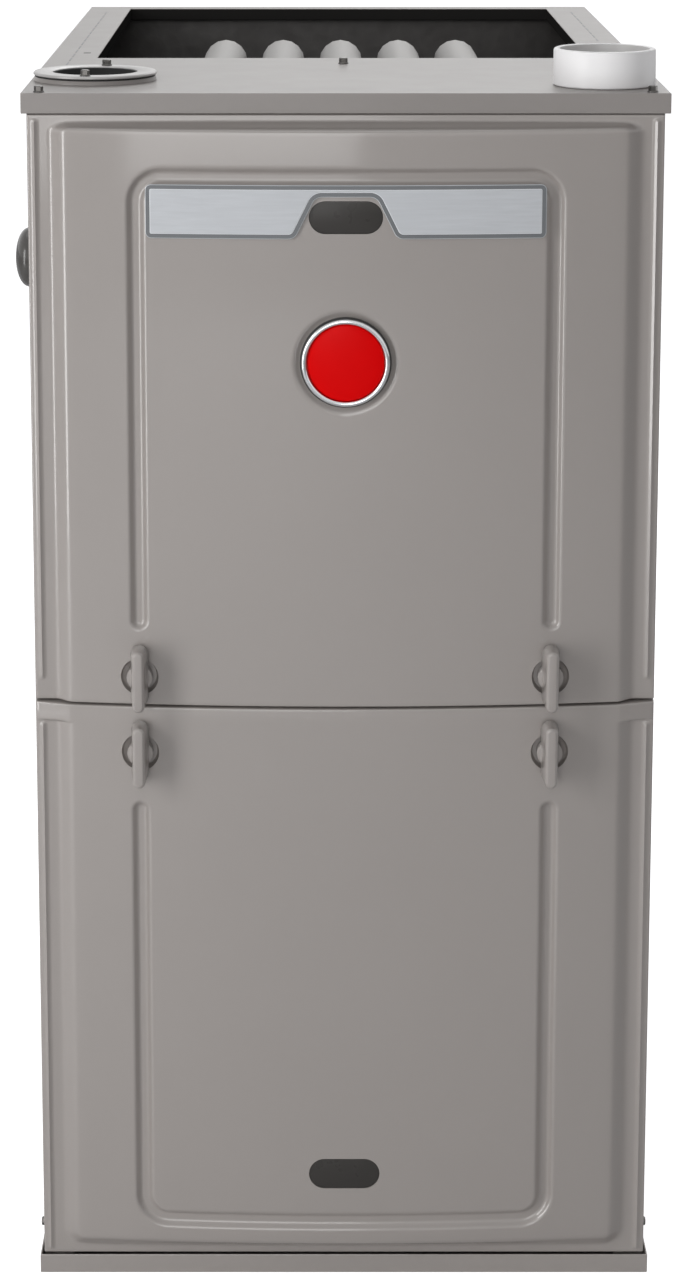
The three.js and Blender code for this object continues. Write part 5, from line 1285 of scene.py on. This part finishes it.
@dataclass
class Studio:
    """Camera, lamps, floor and background."""

    distance: float = 2.2
    height: float = 1.1017
    sideways: float = -0.0213
    pitch: float = 10.41
    lens: float = 91.01
    shift_up: float = -0.24
    shift_side: float = 0.0237
    ambient: float = 0.27
    floor_glow: float = 0.84

    def build(self) -> None:
        """Sets up the room round the furnace."""
        self.camera()
        self.world()
        self.floor()
        doors, middle_height = (0.0, -0.3, 0.5), (0.0, 0.0, 0.4)
        self.lamp("key", (-1.9, -1.75, 0.8), doors, (0.7, 2.2), 35)
        self.lamp("front", (-0.5, -4.2, 1.5), doors, (1.3, 2.6), 31)
        self.lamp("top", (-0.3, 0.3, 2.9), (0.0, 0.0, 0.8), (1.6, 1.6), 6)
        self.lamp("right", (2.9, 0.9, 0.35), middle_height, (1.6, 0.9), 8)
        self.lamp("rear", (0.5, 2.5, 2.6), (0.0, 0.3, 0.4), (2.0, 1.2), 23)

    def camera(self) -> None:
        """The photograph's view: in front, a little above, lens shifted down."""
        data = bpy.data.cameras.new("camera")
        data.lens, data.sensor_width = self.lens, 36.0
        data.shift_x, data.shift_y = self.shift_side, self.shift_up
        camera = placed("camera", data)
        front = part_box("top_deck")[0].y
        camera.location = (self.sideways, front - self.distance, self.height)
        camera.rotation_euler = (radians(90 - self.pitch), 0, 0)
        bpy.context.scene.camera = camera

    def lamp(
        self, name: str, place: Point, target: Point, size: tuple[float, float], power: float
    ) -> None:
        """A soft lamp that faces a target.

        Args:
            name: its name.
            place: where it stands, in metres.
            target: the place that it faces.
            size: its width and height, in metres.
            power: its power, in watts.
        """
        data = bpy.data.lights.new(name, "AREA")
        data.shape, data.energy = "RECTANGLE", power
        data.size, data.size_y = size
        lamp = placed(name, data)
        lamp.location = place
        lamp.rotation_euler = (Vector(target) - Vector(place)).to_track_quat("-Z", "Y").to_euler()

    def world(self) -> None:
        """A pale background for the eye and for reflections, and a dim one for light."""
        world = bpy.data.worlds.new("studio")
        bpy.context.scene.world = world
        recipe = Recipe(world)
        recipe.tree.nodes.clear()
        camera, through, glossy = (
            recipe.node("ShaderNodeLightPath", out=f"Is {kind} Ray")
            for kind in ("Camera", "Transmission", "Glossy")
        )
        glow = {"Color": tint(250, 250, 252), "Strength": self.ambient}
        dim = recipe.node("ShaderNodeBackground", None, glow)
        bright = recipe.node("ShaderNodeBackground", None, {"Color": WHITEST})
        shares = {0: camera | through | glossy, 1: dim, 2: bright}
        output = recipe.tree.nodes.new("ShaderNodeOutputWorld").inputs[0]
        recipe.feed(output, recipe.node("ShaderNodeMixShader", None, shares))

    def floor(self) -> None:
        """A plain pale floor that keeps the furnace's shadow."""
        bpy.ops.mesh.primitive_plane_add(size=40, location=(0, 0, -0.3 * MM))
        floor = bpy.context.object
        floor.name = "studio_floor"
        material = bpy.data.materials.new("pale_floor")
        recipe = Recipe(material)
        path = recipe.node("ShaderNodeLightPath", out="Is Camera Ray")
        recipe.paint(
            Base_Color=tint(235, 235, 236),
            Roughness=0.7,
            Emission_Color=recipe.mix(path, BLACKEST, WHITEST),
            Emission_Strength=self.floor_glow,
        )
        floor.data.materials.append(material)


def dress_frame() -> None:
    """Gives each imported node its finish, for those that stay in view."""
    for node, obj in frame["nodes"].items():
        obj.data.materials.clear()
        obj.data.materials.append(Coat[NODE_SLOTS[node].upper()].material)


def main() -> None:
    """Builds the furnace's looks in order."""
    logging.basicConfig(level=logging.INFO, format="%(name)s %(message)s")
    bpy.context.scene.view_settings.view_transform = "Standard"
    Studio().build()
    dress_frame()
    for group in (Cabinet, Doors, Flue, Exchanger, KeptShapes):
        group().build()


if __name__ == "__main__":
    main()
